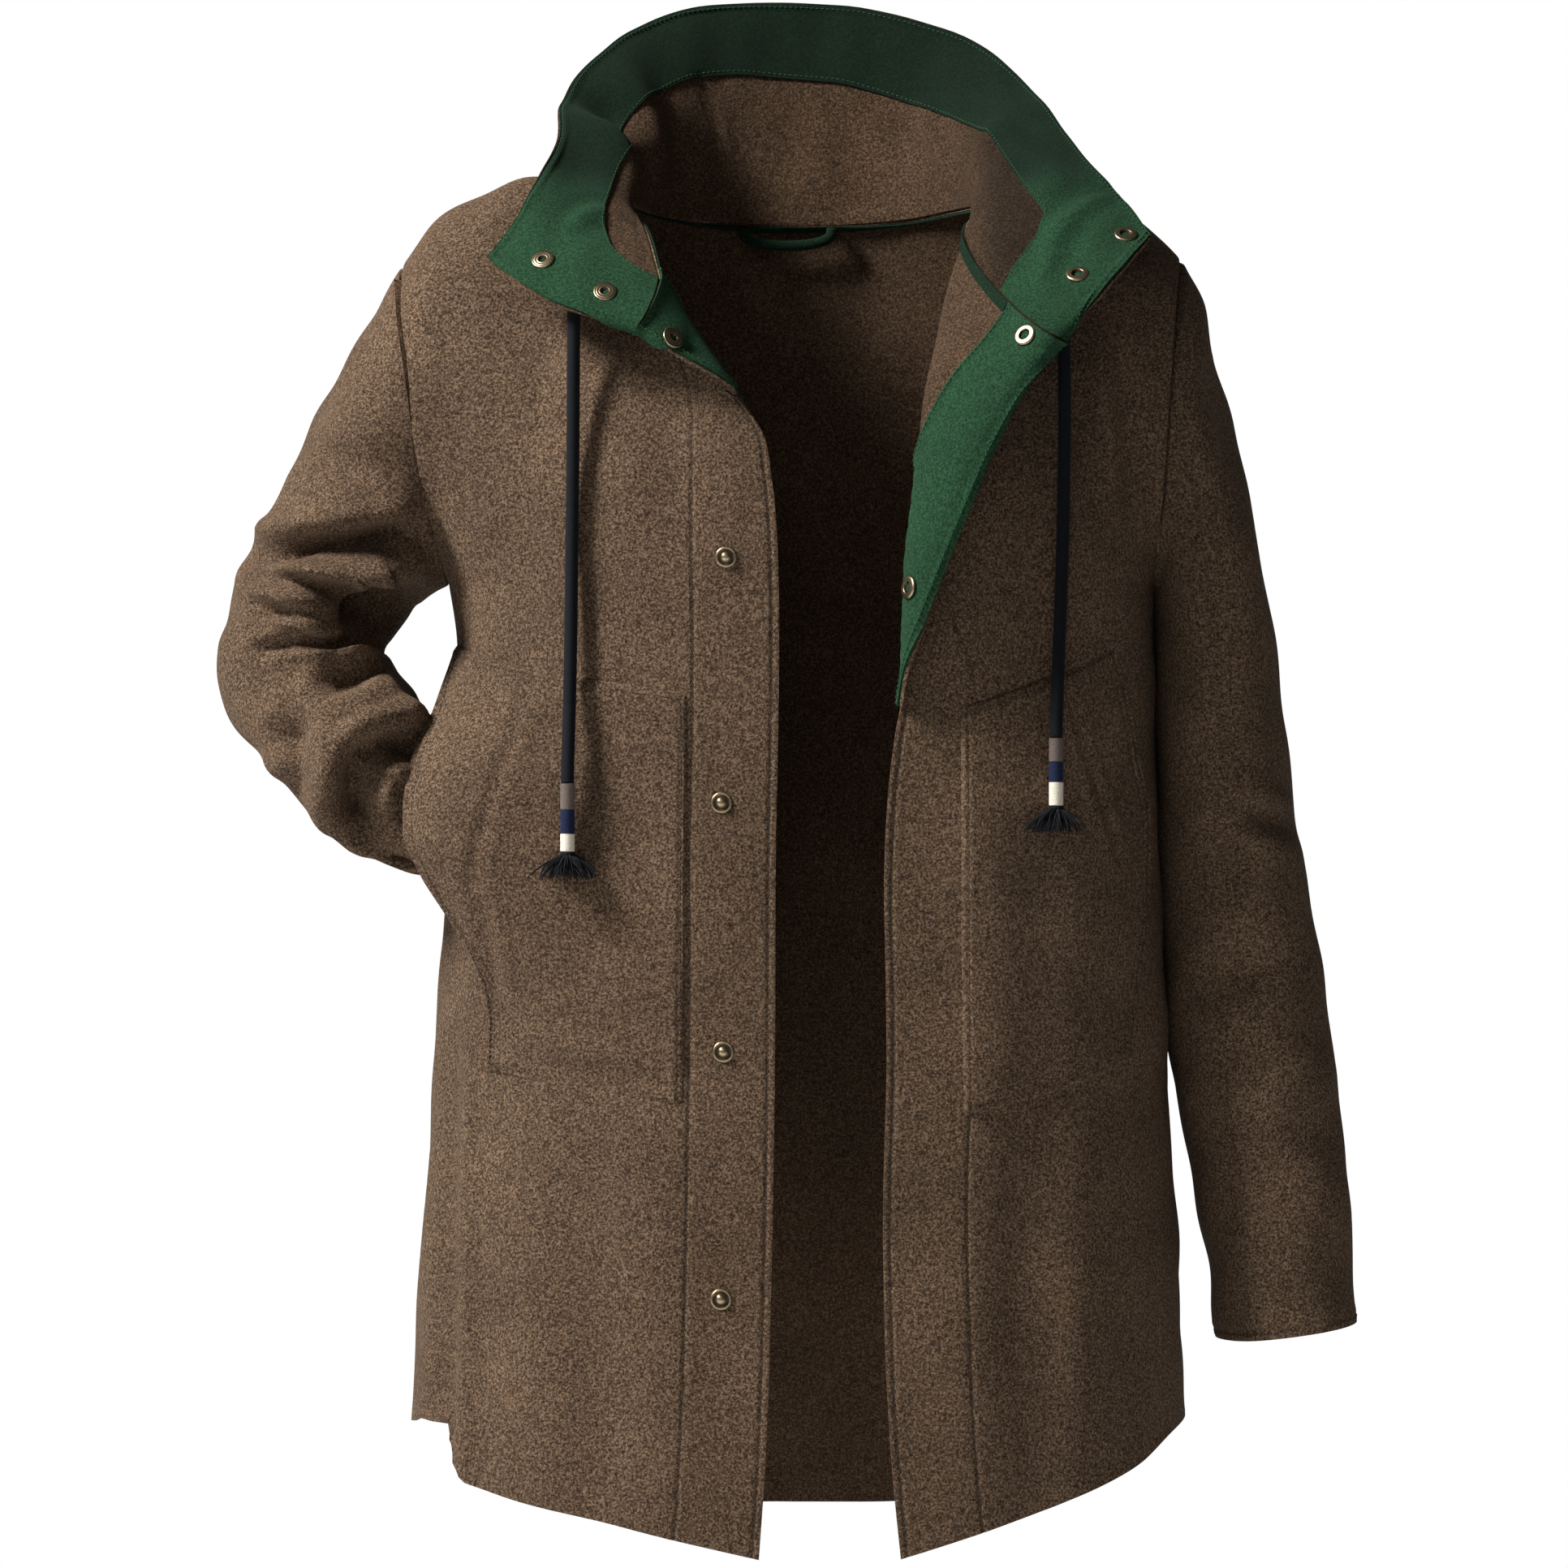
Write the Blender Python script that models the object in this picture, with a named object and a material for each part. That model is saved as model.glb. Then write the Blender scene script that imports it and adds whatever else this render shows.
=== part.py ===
"""A loden coat, hung open on a general figure: one closed solid for each piece that is cut and sewn.

Metres, +Z up, +X towards the wearer's left, +Y towards the coat's back. The origin is the middle of
the neck at shoulder height, where the wearer carries the coat.
"""
import math

import bmesh
import bpy
import numpy as np

# Thickness of the cloth, and the gap that parts two pieces
WALL = 0.0020
FACING_WALL = 0.0014
BINDING_WALL = 0.0012
GAP = 0.0003
SEAM = 0.00018
FACING_GAP = 0.0007
SNAP_GAP = 0.0006
EDGE_INSET = 0.0012
FACING_INSET = 0.0010
HEM_INSET = 0.0015
COLLAR_GAP = 0.0013

# Where the cut of the body changes
ARMPIT_Z = -0.220
ARMHOLE_HALF_DEPTH = 0.072
BODY_POWER = 2 / 2.5
FACING_WIDTH = 0.054

# Rows and columns of the cloth's facets
LOWER_ROWS = 11
UPPER_ROWS = 9
SHOULDER_COLUMNS = 6
FRONT_COLUMNS = 4
BACK_COLUMNS = 6
FACING_STEPS = (0.054, 0.037, 0.020, 0.008, 0.0)
SLEEVE_RINGS = 20

RIGHT = -1
LEFT = 1
FRONT = -1
BACK = 1

# How roundly the body runs into shoulder, armhole and front edge
SHOULDER_ROUNDING = 1.1
ARMHOLE_FADE = 2.2
EDGE_FADE = 2.5

# height, half width on the right, half width on the left, depth in front, depth behind
BODY_SECTIONS = (
    (-0.820, 0.2420, 0.2460, 0.152, 0.150),
    (-0.715, 0.2373, 0.2410, 0.148, 0.146),
    (-0.614, 0.2297, 0.2360, 0.143, 0.138),
    (-0.462, 0.2206, 0.2275, 0.135, 0.124),
    (-0.360, 0.2140, 0.2225, 0.131, 0.114),
    (-0.260, 0.2100, 0.2210, 0.129, 0.112),
    (-0.220, 0.2150, 0.2200, 0.128, 0.115),
)

# share of the half width, from the centre out to the side, and the height of the hem there
HEM_FRONT_RIGHT = (
    (0.00, -0.809), (0.26, -0.795), (0.46, -0.784), (0.76, -0.769), (0.86, -0.761), (0.94, -0.744),
    (1.00, -0.7355),
)
HEM_FRONT_LEFT = (
    (0.20, -0.808), (0.44, -0.790), (0.66, -0.773), (0.86, -0.754), (0.95, -0.740), (1.00, -0.7345),
)
HEM_BACK = (
    (0.00, -0.811), (0.30, -0.810), (0.60, -0.799), (0.85, -0.768), (0.94, -0.747), (1.00, -0.7350),
)

# height, sideways place of the free front edge or, above it, of the line where the front turns out
FRONT_LINE_RIGHT = (
    (-0.810, -0.0220), (-0.750, -0.0180), (-0.650, -0.0147), (-0.500, -0.0123), (-0.400, -0.0120),
    (-0.260, -0.0099), (-0.192, -0.0114), (-0.158, -0.0148), (-0.134, -0.0196), (-0.109, -0.0365),
    (-0.075, -0.0610), (-0.042, -0.0840),
)
FRONT_LINE_LEFT = (
    (-0.810, 0.0627), (-0.774, 0.0590), (-0.722, 0.0552), (-0.602, 0.0520), (-0.506, 0.0544),
    (-0.409, 0.0530), (-0.312, 0.0600), (-0.283, 0.0670), (-0.215, 0.0725), (-0.166, 0.0774),
    (-0.128, 0.0808), (-0.080, 0.0875), (-0.038, 0.0960), (-0.007, 0.1070),
)

# height of the turning line, the edge of the turned-out cloth (x, y, z), and how round the turn is
TURN_OUT_RIGHT = (
    (-0.109, -0.0365, -0.1350, -0.1090, 0.000), (-0.090, -0.0520, -0.1400, -0.1000, 0.006),
    (-0.075, -0.0690, -0.1420, -0.0910, 0.009), (-0.042, -0.0950, -0.1370, -0.0720, 0.012),
)
TURN_OUT_LEFT = (
    (-0.300, 0.0630, -0.1320, -0.3000, 0.000), (-0.279, 0.0672, -0.1380, -0.2790, 0.004),
    (-0.250, 0.0760, -0.1440, -0.2525, 0.009),
    (-0.215, 0.0875, -0.1490, -0.2220, 0.012), (-0.166, 0.1040, -0.1510, -0.1800, 0.016),
    (-0.128, 0.1170, -0.1510, -0.1470, 0.020), (-0.080, 0.1340, -0.1500, -0.1120, 0.027),
    (-0.038, 0.1480, -0.1470, -0.0920, 0.034), (-0.007, 0.1580, -0.1430, -0.0780, 0.040),
)

# share of the row from shoulder tip to front line, and the upper seam there (x, y, z)
TOP_FRONT_RIGHT = (
    (0.00, -0.2440, 0.000, -0.0220), (0.09, -0.2220, 0.003, 0.0075), (0.20, -0.1920, 0.006, 0.0236),
    (0.31, -0.1620, 0.008, 0.0350), (0.40, -0.1330, 0.010, 0.0330), (0.50, -0.1070, 0.012, 0.0230),
    (0.66, -0.1010, -0.035, 0.0080), (0.84, -0.0920, -0.078, -0.0140), (1.00, -0.0840, -0.116, -0.0420),
)
TOP_FRONT_LEFT = (
    (0.00, 0.2400, 0.000, -0.0185), (0.07, 0.2270, 0.002, -0.0050), (0.16, 0.2050, 0.004, 0.0120),
    (0.31, 0.1620, 0.008, 0.0290), (0.40, 0.1370, 0.010, 0.0270), (0.50, 0.1130, 0.012, 0.0190),
    (0.75, 0.1110, -0.015, 0.0080), (1.00, 0.1070, -0.040, -0.0070),
)
# rows of the tables above that belong to the shoulder seam, and the height over which a front starts to turn
SHOULDER_ROWS = 6
TURN_RUN = 0.055
TOP_BACK_RIGHT = TOP_FRONT_RIGHT[:SHOULDER_ROWS] + (
    (0.64, -0.0940, 0.062, 0.0220), (0.76, -0.0660, 0.088, 0.0190), (0.88, -0.0300, 0.100, 0.0170),
    (1.00, 0.0045, 0.102, 0.0160),
)
TOP_BACK_LEFT = TOP_FRONT_LEFT[:SHOULDER_ROWS] + (
    (0.64, 0.1010, 0.062, 0.0220), (0.76, 0.0740, 0.088, 0.0190), (0.88, 0.0400, 0.100, 0.0170),
    (1.00, 0.0045, 0.102, 0.0160),
)

# height of the armhole seam and its sideways place
ARMHOLE_RIGHT = (
    (-0.220, -0.2150), (-0.180, -0.2250), (-0.140, -0.2330), (-0.099, -0.2375), (-0.058, -0.2430),
    (-0.022, -0.2440),
)
ARMHOLE_LEFT = (
    (-0.220, 0.2200), (-0.170, 0.2240), (-0.110, 0.2280), (-0.060, 0.2330), (-0.0185, 0.2400),
)

# sideways place, top, bottom, half width and rise of each soft upright fold of the fronts
FOLDS = (
    (-0.2050, -0.500, -0.820, 0.010, 0.0050), (-0.1500, -0.560, -0.820, 0.030, 0.0035),
    (-0.0900, -0.420, -0.820, 0.030, 0.0030), (0.1180, -0.250, -0.820, 0.024, 0.0035),
    (0.1750, -0.100, -0.820, 0.022, 0.0040), (0.2080, -0.420, -0.820, 0.013, 0.0030),
)

# along the neck seam, the line where the collar starts to lean out (x, y, z), and its rim (x, y, z)
COLLAR = (
    (0.000, -0.1390, -0.1310, -0.0600, -0.1863, -0.0950, -0.0275),
    (0.054, -0.1270, -0.1120, -0.0330, -0.1690, -0.0760, -0.0020),
    (0.120, -0.1180, -0.0650, 0.0030, -0.1569, -0.0480, 0.0290),
    (0.190, -0.1130, -0.0200, 0.0300, -0.1485, -0.0100, 0.0540),
    (0.265, -0.1070, 0.0200, 0.0600, -0.1477, 0.0300, 0.0820),
    (0.335, -0.0950, 0.0640, 0.0880, -0.1340, 0.0700, 0.1106),
    (0.388, -0.0730, 0.0940, 0.1030, -0.1040, 0.1050, 0.1390),
    (0.440, -0.0400, 0.1120, 0.1090, -0.0626, 0.1250, 0.1566),
    (0.490, 0.0020, 0.1170, 0.1090, -0.0050, 0.1330, 0.1614),
    (0.542, 0.0440, 0.1140, 0.1040, 0.0528, 0.1280, 0.1570),
    (0.592, 0.0800, 0.1000, 0.0890, 0.1100, 0.1100, 0.1370),
    (0.646, 0.1050, 0.0700, 0.0750, 0.1400, 0.0800, 0.1094),
    (0.710, 0.1200, 0.0280, 0.0550, 0.1586, 0.0400, 0.0807),
    (0.790, 0.1280, -0.0220, 0.0300, 0.1807, -0.0200, 0.0404),
    (0.850, 0.1400, -0.0600, 0.0040, 0.1945, -0.0420, 0.0200),
    (0.920, 0.1600, -0.0980, -0.0270, 0.2050, -0.0620, 0.0060),
    (1.000, 0.1800, -0.1330, -0.0560, 0.2147, -0.0850, -0.0132),
)
COLLAR_LEVELS = (0.0, 0.14, 0.30, 0.47, 0.64, 0.76, 0.88, 1.0)
BAND_FROM = 4

# along the sleeve, outer edge (x, z), inner edge (x, z), middle and half depth (y), turn in degrees
SLEEVE_RIGHT = (
    (0.00, -0.2440, -0.0220, -0.2150, -0.2200, 0.000, 0.072, 0),
    (0.06, -0.2575, -0.0455, -0.2215, -0.2228, 0.000, 0.074, 0),
    (0.12, -0.2777, -0.0784, -0.2255, -0.2250, 0.000, 0.076, 0),
    (0.18, -0.2969, -0.1112, -0.2292, -0.2272, 0.002, 0.077, 0),
    (0.25, -0.3140, -0.1491, -0.2332, -0.2299, 0.004, 0.077, 0),
    (0.33, -0.3322, -0.1869, -0.2388, -0.2334, 0.006, 0.075, 0),
    (0.39, -0.3459, -0.2097, -0.2438, -0.2410, 0.007, 0.074, 0),
    (0.45, -0.3534, -0.2375, -0.2504, -0.2526, 0.007, 0.072, 0),
    (0.51, -0.3610, -0.2587, -0.2560, -0.2632, 0.005, 0.070, 0),
    (0.57, -0.3575, -0.2829, -0.2524, -0.2700, -0.002, 0.067, 0),
    (0.63, -0.3490, -0.3056, -0.2449, -0.2790, -0.014, 0.062, 0),
    (0.71, -0.3250, -0.3310, -0.2350, -0.2886, -0.034, 0.055, 6),
    (0.79, -0.2960, -0.3609, -0.2260, -0.3020, -0.053, 0.043, 16),
    (0.83, -0.2810, -0.3740, -0.2225, -0.3120, -0.060, 0.031, 26),
    (0.87, -0.2640, -0.3850, -0.2160, -0.3230, -0.066, 0.021, 36),
    (0.94, -0.2360, -0.3970, -0.2050, -0.3430, -0.072, 0.012, 48),
    (1.00, -0.2180, -0.4000, -0.1920, -0.3560, -0.082, 0.010, 52),
)
SLEEVE_LEFT = (
    (0.00, 0.2400, -0.0185, 0.2200, -0.2200, 0.000, 0.072, 0),
    (0.04, 0.2505, -0.0400, 0.2250, -0.2250, 0.001, 0.074, 0),
    (0.09, 0.2600, -0.0780, 0.2264, -0.2310, 0.003, 0.076, 0),
    (0.15, 0.2720, -0.1210, 0.2272, -0.2390, 0.005, 0.077, 0),
    (0.23, 0.2854, -0.1844, 0.2275, -0.2500, 0.007, 0.077, 0),
    (0.31, 0.2950, -0.2400, 0.2282, -0.2800, 0.008, 0.075, 0),
    (0.42, 0.3050, -0.3100, 0.2288, -0.3300, 0.008, 0.071, 0),
    (0.52, 0.3132, -0.3713, 0.2292, -0.3850, 0.007, 0.068, 0),
    (0.61, 0.3233, -0.4369, 0.2310, -0.4450, 0.004, 0.064, 0),
    (0.73, 0.3359, -0.5127, 0.2350, -0.5130, -0.002, 0.060, 0),
    (0.81, 0.3400, -0.5600, 0.2412, -0.5630, -0.006, 0.058, 0),
    (0.90, 0.3435, -0.6137, 0.2515, -0.6180, -0.010, 0.056, 0),
    (1.00, 0.3470, -0.6750, 0.2630, -0.6870, -0.013, 0.054, 0),
)

# up each pocket: its side edge (x, z) and how far that stands off the body, its front edge (x, z)
POCKET_RIGHT = (
    (0.00, -0.1850, -0.5170, 0.0000, -0.0660, -0.5350), (0.10, -0.1850, -0.4920, 0.0000, -0.0660, -0.5110),
    (0.20, -0.1860, -0.4630, 0.0030, -0.0660, -0.4860), (0.28, -0.1900, -0.4420, 0.0100, -0.0658, -0.4660),
    (0.37, -0.1960, -0.4210, 0.0210, -0.0655, -0.4440), (0.46, -0.1980, -0.4000, 0.0350, -0.0652, -0.4220),
    (0.56, -0.1980, -0.3760, 0.0460, -0.0650, -0.3970), (0.66, -0.1980, -0.3520, 0.0445, -0.0648, -0.3730),
    (0.76, -0.1990, -0.3260, 0.0350, -0.0646, -0.3480), (0.86, -0.2030, -0.2960, 0.0170, -0.0645, -0.3240),
    (1.00, -0.2070, -0.2570, 0.0000, -0.0645, -0.2893),
)
POCKET_LEFT = (
    (0.00, 0.2030, -0.5120, 0.0000, 0.1000, -0.5420), (0.20, 0.2080, -0.4630, 0.0000, 0.0995, -0.4930),
    (0.40, 0.2135, -0.4150, 0.0015, 0.0990, -0.4440), (0.60, 0.2120, -0.3660, 0.0025, 0.0990, -0.3950),
    (0.80, 0.2050, -0.3140, 0.0015, 0.0990, -0.3460), (1.00, 0.1930, -0.2580, 0.0000, 0.0990, -0.2980),
)
POCKET_ROWS = 11
POCKET_COLUMNS = 8
POCKET_REACH = 0.150
POCKET_LIFT = 0.0008

# Snaps: distance in from the front edge and height; on the collar, share of its seam and of its height
EDGE_SNAPS_RIGHT = ((0.010, -0.0800), (0.031, -0.2085), (0.033, -0.3551), (0.031, -0.5036), (0.030, -0.6502))
EDGE_SNAPS_LEFT = ((0.025, -0.0790), (0.018, -0.2275), (0.031, -0.3640), (0.031, -0.5090), (0.031, -0.6530))
COLLAR_SNAPS_RIGHT = ((0.036, 0.66), (0.030, 0.24))
COLLAR_SNAPS_LEFT = ((0.960, 0.84), (0.958, 0.40))
SNAP_SIDES = 12
SNAP_REACH = 0.0070
# radius and height along each turned snap piece
STUD_PROFILE = (
    (0.0063, 0.0), (0.0063, 0.0007), (0.0050, 0.0011), (0.0027, 0.0010), (0.0021, 0.0021),
    (0.0026, 0.0029), (0.0017, 0.0036),
)
PLATE_PROFILE = ((0.0068, 0.0), (0.0068, 0.0006), (0.0056, 0.0011), (0.0030, 0.0010), (0.0021, 0.0004))
SOCKET_PROFILE = ((0.0068, 0.0), (0.0068, 0.0008), (0.0054, 0.0014), (0.0034, 0.0012), (0.0026, 0.0004))

# Neck binding and the loop that hangs from it
BINDING_DEPTH = 0.0075
LOOP_ENDS_X = (-0.0330, 0.0235)
LOOP_DROP = 0.0110
LOOP_RADIUS = 0.0022

# Drawstrings: routes from behind the collar down to the first wrap, and what is bound on below it
CORD_RADIUS = 0.0040
WRAP_RADIUS = 0.0044
CORD_SIDES = 2
CORD_RIGHT = (
    (-0.1330, -0.1145, -0.0420), (-0.1330, -0.1160, -0.0550), (-0.1331, -0.1165, -0.0700),
    (-0.1332, -0.1167, -0.0880), (-0.1333, -0.1168, -0.1070), (-0.1334, -0.1169, -0.1260),
    (-0.1335, -0.1170, -0.1450), (-0.1337, -0.1172, -0.1640), (-0.1339, -0.1174, -0.1830),
    (-0.1341, -0.1177, -0.2020), (-0.1343, -0.1183, -0.2210), (-0.1345, -0.1192, -0.2400),
    (-0.1347, -0.1204, -0.2590), (-0.1350, -0.1221, -0.2780), (-0.1353, -0.1243, -0.2970),
    (-0.1357, -0.1278, -0.3150), (-0.1360, -0.1308, -0.3300), (-0.1361, -0.1322, -0.3390),
    (-0.1361, -0.1324, -0.3435),
)
CORD_LEFT = (
    (0.1607, -0.1080, -0.0402), (0.1608, -0.1090, -0.0540), (0.1611, -0.1092, -0.0700),
    (0.1614, -0.1090, -0.0880), (0.1616, -0.1085, -0.1070), (0.1617, -0.1080, -0.1260),
    (0.1616, -0.1079, -0.1450), (0.1613, -0.1080, -0.1640), (0.1609, -0.1083, -0.1830),
    (0.1604, -0.1090, -0.2020), (0.1597, -0.1098, -0.2210), (0.1590, -0.1110, -0.2400),
    (0.1582, -0.1126, -0.2590), (0.1574, -0.1146, -0.2780), (0.1566, -0.1170, -0.2970),
    (0.1561, -0.1191, -0.3110), (0.1560, -0.1195, -0.3162),
)
WRAPS_RIGHT = (0.0155, 0.0144, 0.0107)
WRAPS_LEFT = (0.0142, 0.0122, 0.0141)
WRAP_NAMES = ("wrap_grey", "wrap_navy", "wrap_cream")
TASSEL_HEAD = 0.0022
STRAND_LENGTH = 0.0145
STRANDS_ROUND = 12
STRAND_ROOTS = (0.0026, 0.0010)
STRAND_STEPS = 3


def read_table(table, key):
    """The other columns of a table at a value of its first one, on a smooth curve through its rows."""
    rows = np.asarray(table, float)
    knots = rows[:, 0]
    values = rows[:, 1:]
    key = min(max(key, knots[0]), knots[-1])
    steps = np.diff(knots)
    slopes = np.diff(values, axis=0) / steps[:, None]
    tangents = np.vstack([slopes[:1], 0.5 * (slopes[:-1] + slopes[1:]), slopes[-1:]])
    tangents[1:-1][slopes[:-1] * slopes[1:] <= 0] = 0
    i = min(int(np.searchsorted(knots, key, side="right")) - 1, len(steps) - 1)
    t = (key - knots[i]) / steps[i]
    start = values[i] * (1 - t) ** 2 * (1 + 2 * t) + tangents[i] * steps[i] * t * (1 - t) ** 2
    end = values[i + 1] * t ** 2 * (3 - 2 * t) - tangents[i + 1] * steps[i] * t ** 2 * (1 - t)
    return start + end


def spaced(curve, count):
    """Points at equal distances along a line of points, both ends kept."""
    along = np.concatenate([[0], np.cumsum(np.linalg.norm(np.diff(curve, axis=0), axis=1))])
    return at_distances(curve, np.linspace(0, along[-1], count))


def length_of(curve):
    return float(np.linalg.norm(np.diff(curve, axis=0), axis=1).sum())


def at_distances(curve, distances):
    along = np.concatenate([[0], np.cumsum(np.linalg.norm(np.diff(curve, axis=0), axis=1))])
    return np.stack([np.interp(distances, along, curve[:, axis]) for axis in range(3)], axis=1)


def unit(vectors):
    return vectors / np.maximum(np.linalg.norm(vectors, axis=-1, keepdims=True), 1e-9)


def body_section(side, face, z):
    """Half width and depth of the body at a height."""
    half_right, half_left, front, back = read_table(BODY_SECTIONS, z)
    return (half_left if side == LEFT else half_right), (front if face == FRONT else back)


def section_point(side, face, share, z):
    """A point of the body's section: share 0 is the side seam, 1 the middle of the front or back."""
    half, depth = body_section(side, face, z)
    angle = share * math.pi / 2
    x = side * half * max(math.cos(angle), 0) ** BODY_POWER
    y = face * depth * max(math.sin(angle), 0) ** BODY_POWER
    return np.array([x, y, z])


def share_at(side, x, z):
    """How far round the section a sideways place lies."""
    half, _ = body_section(side, FRONT, z)
    ratio = min(max(side * x / half, -0.2), 1.0)
    if ratio < 0:
        return 1 + math.asin((-ratio) ** (1 / BODY_POWER)) * 2 / math.pi
    return math.acos(ratio ** (1 / BODY_POWER)) * 2 / math.pi


def wide_point(side, face, share, z):
    """Like section_point, but it may run a little way past the middle."""
    if share <= 1:
        return section_point(side, face, share, z)
    point = section_point(side, face, 2 - share, z)
    point[0] = -point[0]
    return point


def fold_rise(point):
    """How far the soft upright folds lift a point of the fronts."""
    rise = 0.0
    for x, top, bottom, half, height in FOLDS:
        down = min(max((top - point[2]) / 0.18, 0.0), 1.0)
        near = math.exp(-(((point[0] - x) / half) ** 2))
        rise += height * near * down * down * (3 - 2 * down)
    return rise


def lower_row(side, face, level):
    """Body row between hem (level 0) and armpit (level 1), side seam to front line or middle back."""
    if face == BACK:
        hem = HEM_BACK
        last_share = 1.0
    else:
        hem = HEM_FRONT_RIGHT if side == RIGHT else HEM_FRONT_LEFT
        line = FRONT_LINE_RIGHT if side == RIGHT else FRONT_LINE_LEFT
        edge_z = hem[0][1] + (ARMPIT_Z - hem[0][1]) * level
        last_share = share_at(side, read_table(line, edge_z)[0], edge_z)
    points = []
    for share in np.linspace(0, last_share, 49):
        across = abs(math.cos(share * math.pi / 2)) ** BODY_POWER
        hem_z = read_table(hem, across)[0]
        z = hem_z + (ARMPIT_Z - hem_z) * level
        point = wide_point(side, face, share, z)
        if face == FRONT:
            point[1] -= fold_rise(point) * math.sin(min(share, 1) * math.pi / 2)
        points.append(point)
    return np.array(points)


def upper_row(side, face, level):
    """Body row between armpit (level 0) and shoulder and neck seam (level 1)."""
    if face == FRONT:
        top = TOP_FRONT_RIGHT if side == RIGHT else TOP_FRONT_LEFT
    else:
        top = TOP_BACK_RIGHT if side == RIGHT else TOP_BACK_LEFT
    armhole = ARMHOLE_RIGHT if side == RIGHT else ARMHOLE_LEFT
    bottom = lower_row(side, face, 1.0)
    across = 1 - math.cos(level * math.pi / 2) ** SHOULDER_ROUNDING
    rising = math.sin(level * math.pi / 2) ** SHOULDER_ROUNDING
    mix = np.array([across, across, rising])
    points = []
    for share, low in zip(np.linspace(0, 1, len(bottom)), bottom):
        high = read_table(top[:SHOULDER_ROWS] if share <= 0.5 else top[SHOULDER_ROWS - 1:], share)
        points.append(low + (high - low) * mix)
    points = np.array(points)
    shares = np.linspace(0, 1, len(points))[:, None]
    tip = np.array(top[0][1:])
    seam_z = ARMPIT_Z + (tip[2] - ARMPIT_Z) * (1 - math.cos(level * math.pi)) / 2
    seam = np.array([
        read_table(armhole, seam_z)[0], face * ARMHOLE_HALF_DEPTH * math.sin(level * math.pi), seam_z,
    ])
    points += (seam - points[0]) * (1 - shares) ** ARMHOLE_FADE
    if face == FRONT:
        line = FRONT_LINE_RIGHT if side == RIGHT else FRONT_LINE_LEFT
        turn_z = ARMPIT_Z + (top[-1][3] - ARMPIT_Z) * level
        ease = math.sin(level * math.pi / 2)
        turn_y = bottom[-1][1] + (top[-1][2] - bottom[-1][1]) * (1 - math.cos(level * math.pi / 2)) ** 1.3
        turn = np.array([read_table(line, turn_z)[0], turn_y - 0.004 * ease * (1 - level), turn_z])
        points += (turn - points[-1]) * shares ** EDGE_FADE
    return points


def turned_out(side, row):
    """The stretch of a front row past the line where it turns out; nothing where it does not turn."""
    table = TURN_OUT_RIGHT if side == RIGHT else TURN_OUT_LEFT
    start = row[-1]
    if start[2] <= table[0][0] + 0.001:
        return row[-1:]
    x, y, z, round_by = read_table(table, start[2])
    end = np.array([x, y, z])
    leaving = unit(row[-1] - row[-4])
    turn = min((start[2] - table[0][0]) / TURN_RUN, 1.0) * math.pi
    forward = np.array([0.0, -1.0, -0.3])
    arriving = unit(leaving * math.cos(turn) + forward * math.sin(turn) + np.array([0, 0, -0.2]))
    first = start + leaving * round_by
    second = end - arriving * round_by
    t = np.linspace(0, 1, 33)[:, None]
    return (
        start * (1 - t) ** 3 + 3 * first * t * (1 - t) ** 2
        + 3 * second * t ** 2 * (1 - t) + end * t ** 3
    )


def front_row(side, level):
    """Evenly placed points of a front row; level runs 0 to 1 below the armpit and 1 to 2 above."""
    row = lower_row(side, FRONT, level) if level <= 1 else upper_row(side, FRONT, level - 1)
    middle = len(row) // 2
    outer = spaced(row[:middle + 1], SHOULDER_COLUMNS + 1)
    rest = np.vstack([row[middle:], turned_out(side, row)[1:]])
    total = length_of(rest)
    near_facing = np.linspace(0, total - FACING_WIDTH, FRONT_COLUMNS + 1)[1:-1]
    facing = [total - step for step in FACING_STEPS]
    inner = at_distances(rest, np.concatenate([near_facing, facing]))
    return np.vstack([outer, inner])


def back_row(level):
    halves = []
    for side in (RIGHT, LEFT):
        row = lower_row(side, BACK, level) if level <= 1 else upper_row(side, BACK, level - 1)
        middle = len(row) // 2
        outer = spaced(row[:middle + 1], SHOULDER_COLUMNS + 1)
        halves.append(np.vstack([outer, spaced(row[middle:], BACK_COLUMNS + 1)[1:]]))
    return np.vstack([halves[0], halves[1][::-1][1:]])


def row_levels():
    """Row levels from hem to neck, denser where the left front starts to turn out."""
    lower = list(np.linspace(0, 0.84, LOWER_ROWS - 3)) + [0.90, 0.95, 1.0]
    upper = [1 + (row + 1) / UPPER_ROWS for row in range(UPPER_ROWS)]
    return lower + upper


def surface_normals(grid, flip, closed=False):
    """Outward directions at the points of a grid of rows and columns."""
    if closed:
        along = np.roll(grid, -1, axis=1) - np.roll(grid, 1, axis=1)
    else:
        along = np.gradient(grid, axis=1)
    normals = unit(np.cross(along, np.gradient(grid, axis=0)))
    return -normals if flip else normals


def shrink(grid, bottom=0.0, top=0.0, first=0.0, last=0.0):
    """Draws the borders of a grid in, which leaves the seam's gap."""
    grid = grid.copy()
    if bottom:
        grid[0] += unit(grid[1] - grid[0]) * bottom
    if top:
        grid[-1] += unit(grid[-2] - grid[-1]) * top
    if first:
        grid[:, 0] += unit(grid[:, 1] - grid[:, 0]) * first
    if last:
        grid[:, -1] += unit(grid[:, -2] - grid[:, -1]) * last
    return grid


def material(name, colour, roughness, metallic=0.0):
    made = bpy.data.materials.new(name)
    made.use_nodes = True
    shader = made.node_tree.nodes["Principled BSDF"]
    shader.inputs["Base Color"].default_value = (*colour, 1.0)
    shader.inputs["Roughness"].default_value = roughness
    shader.inputs["Metallic"].default_value = metallic
    return made


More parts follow.
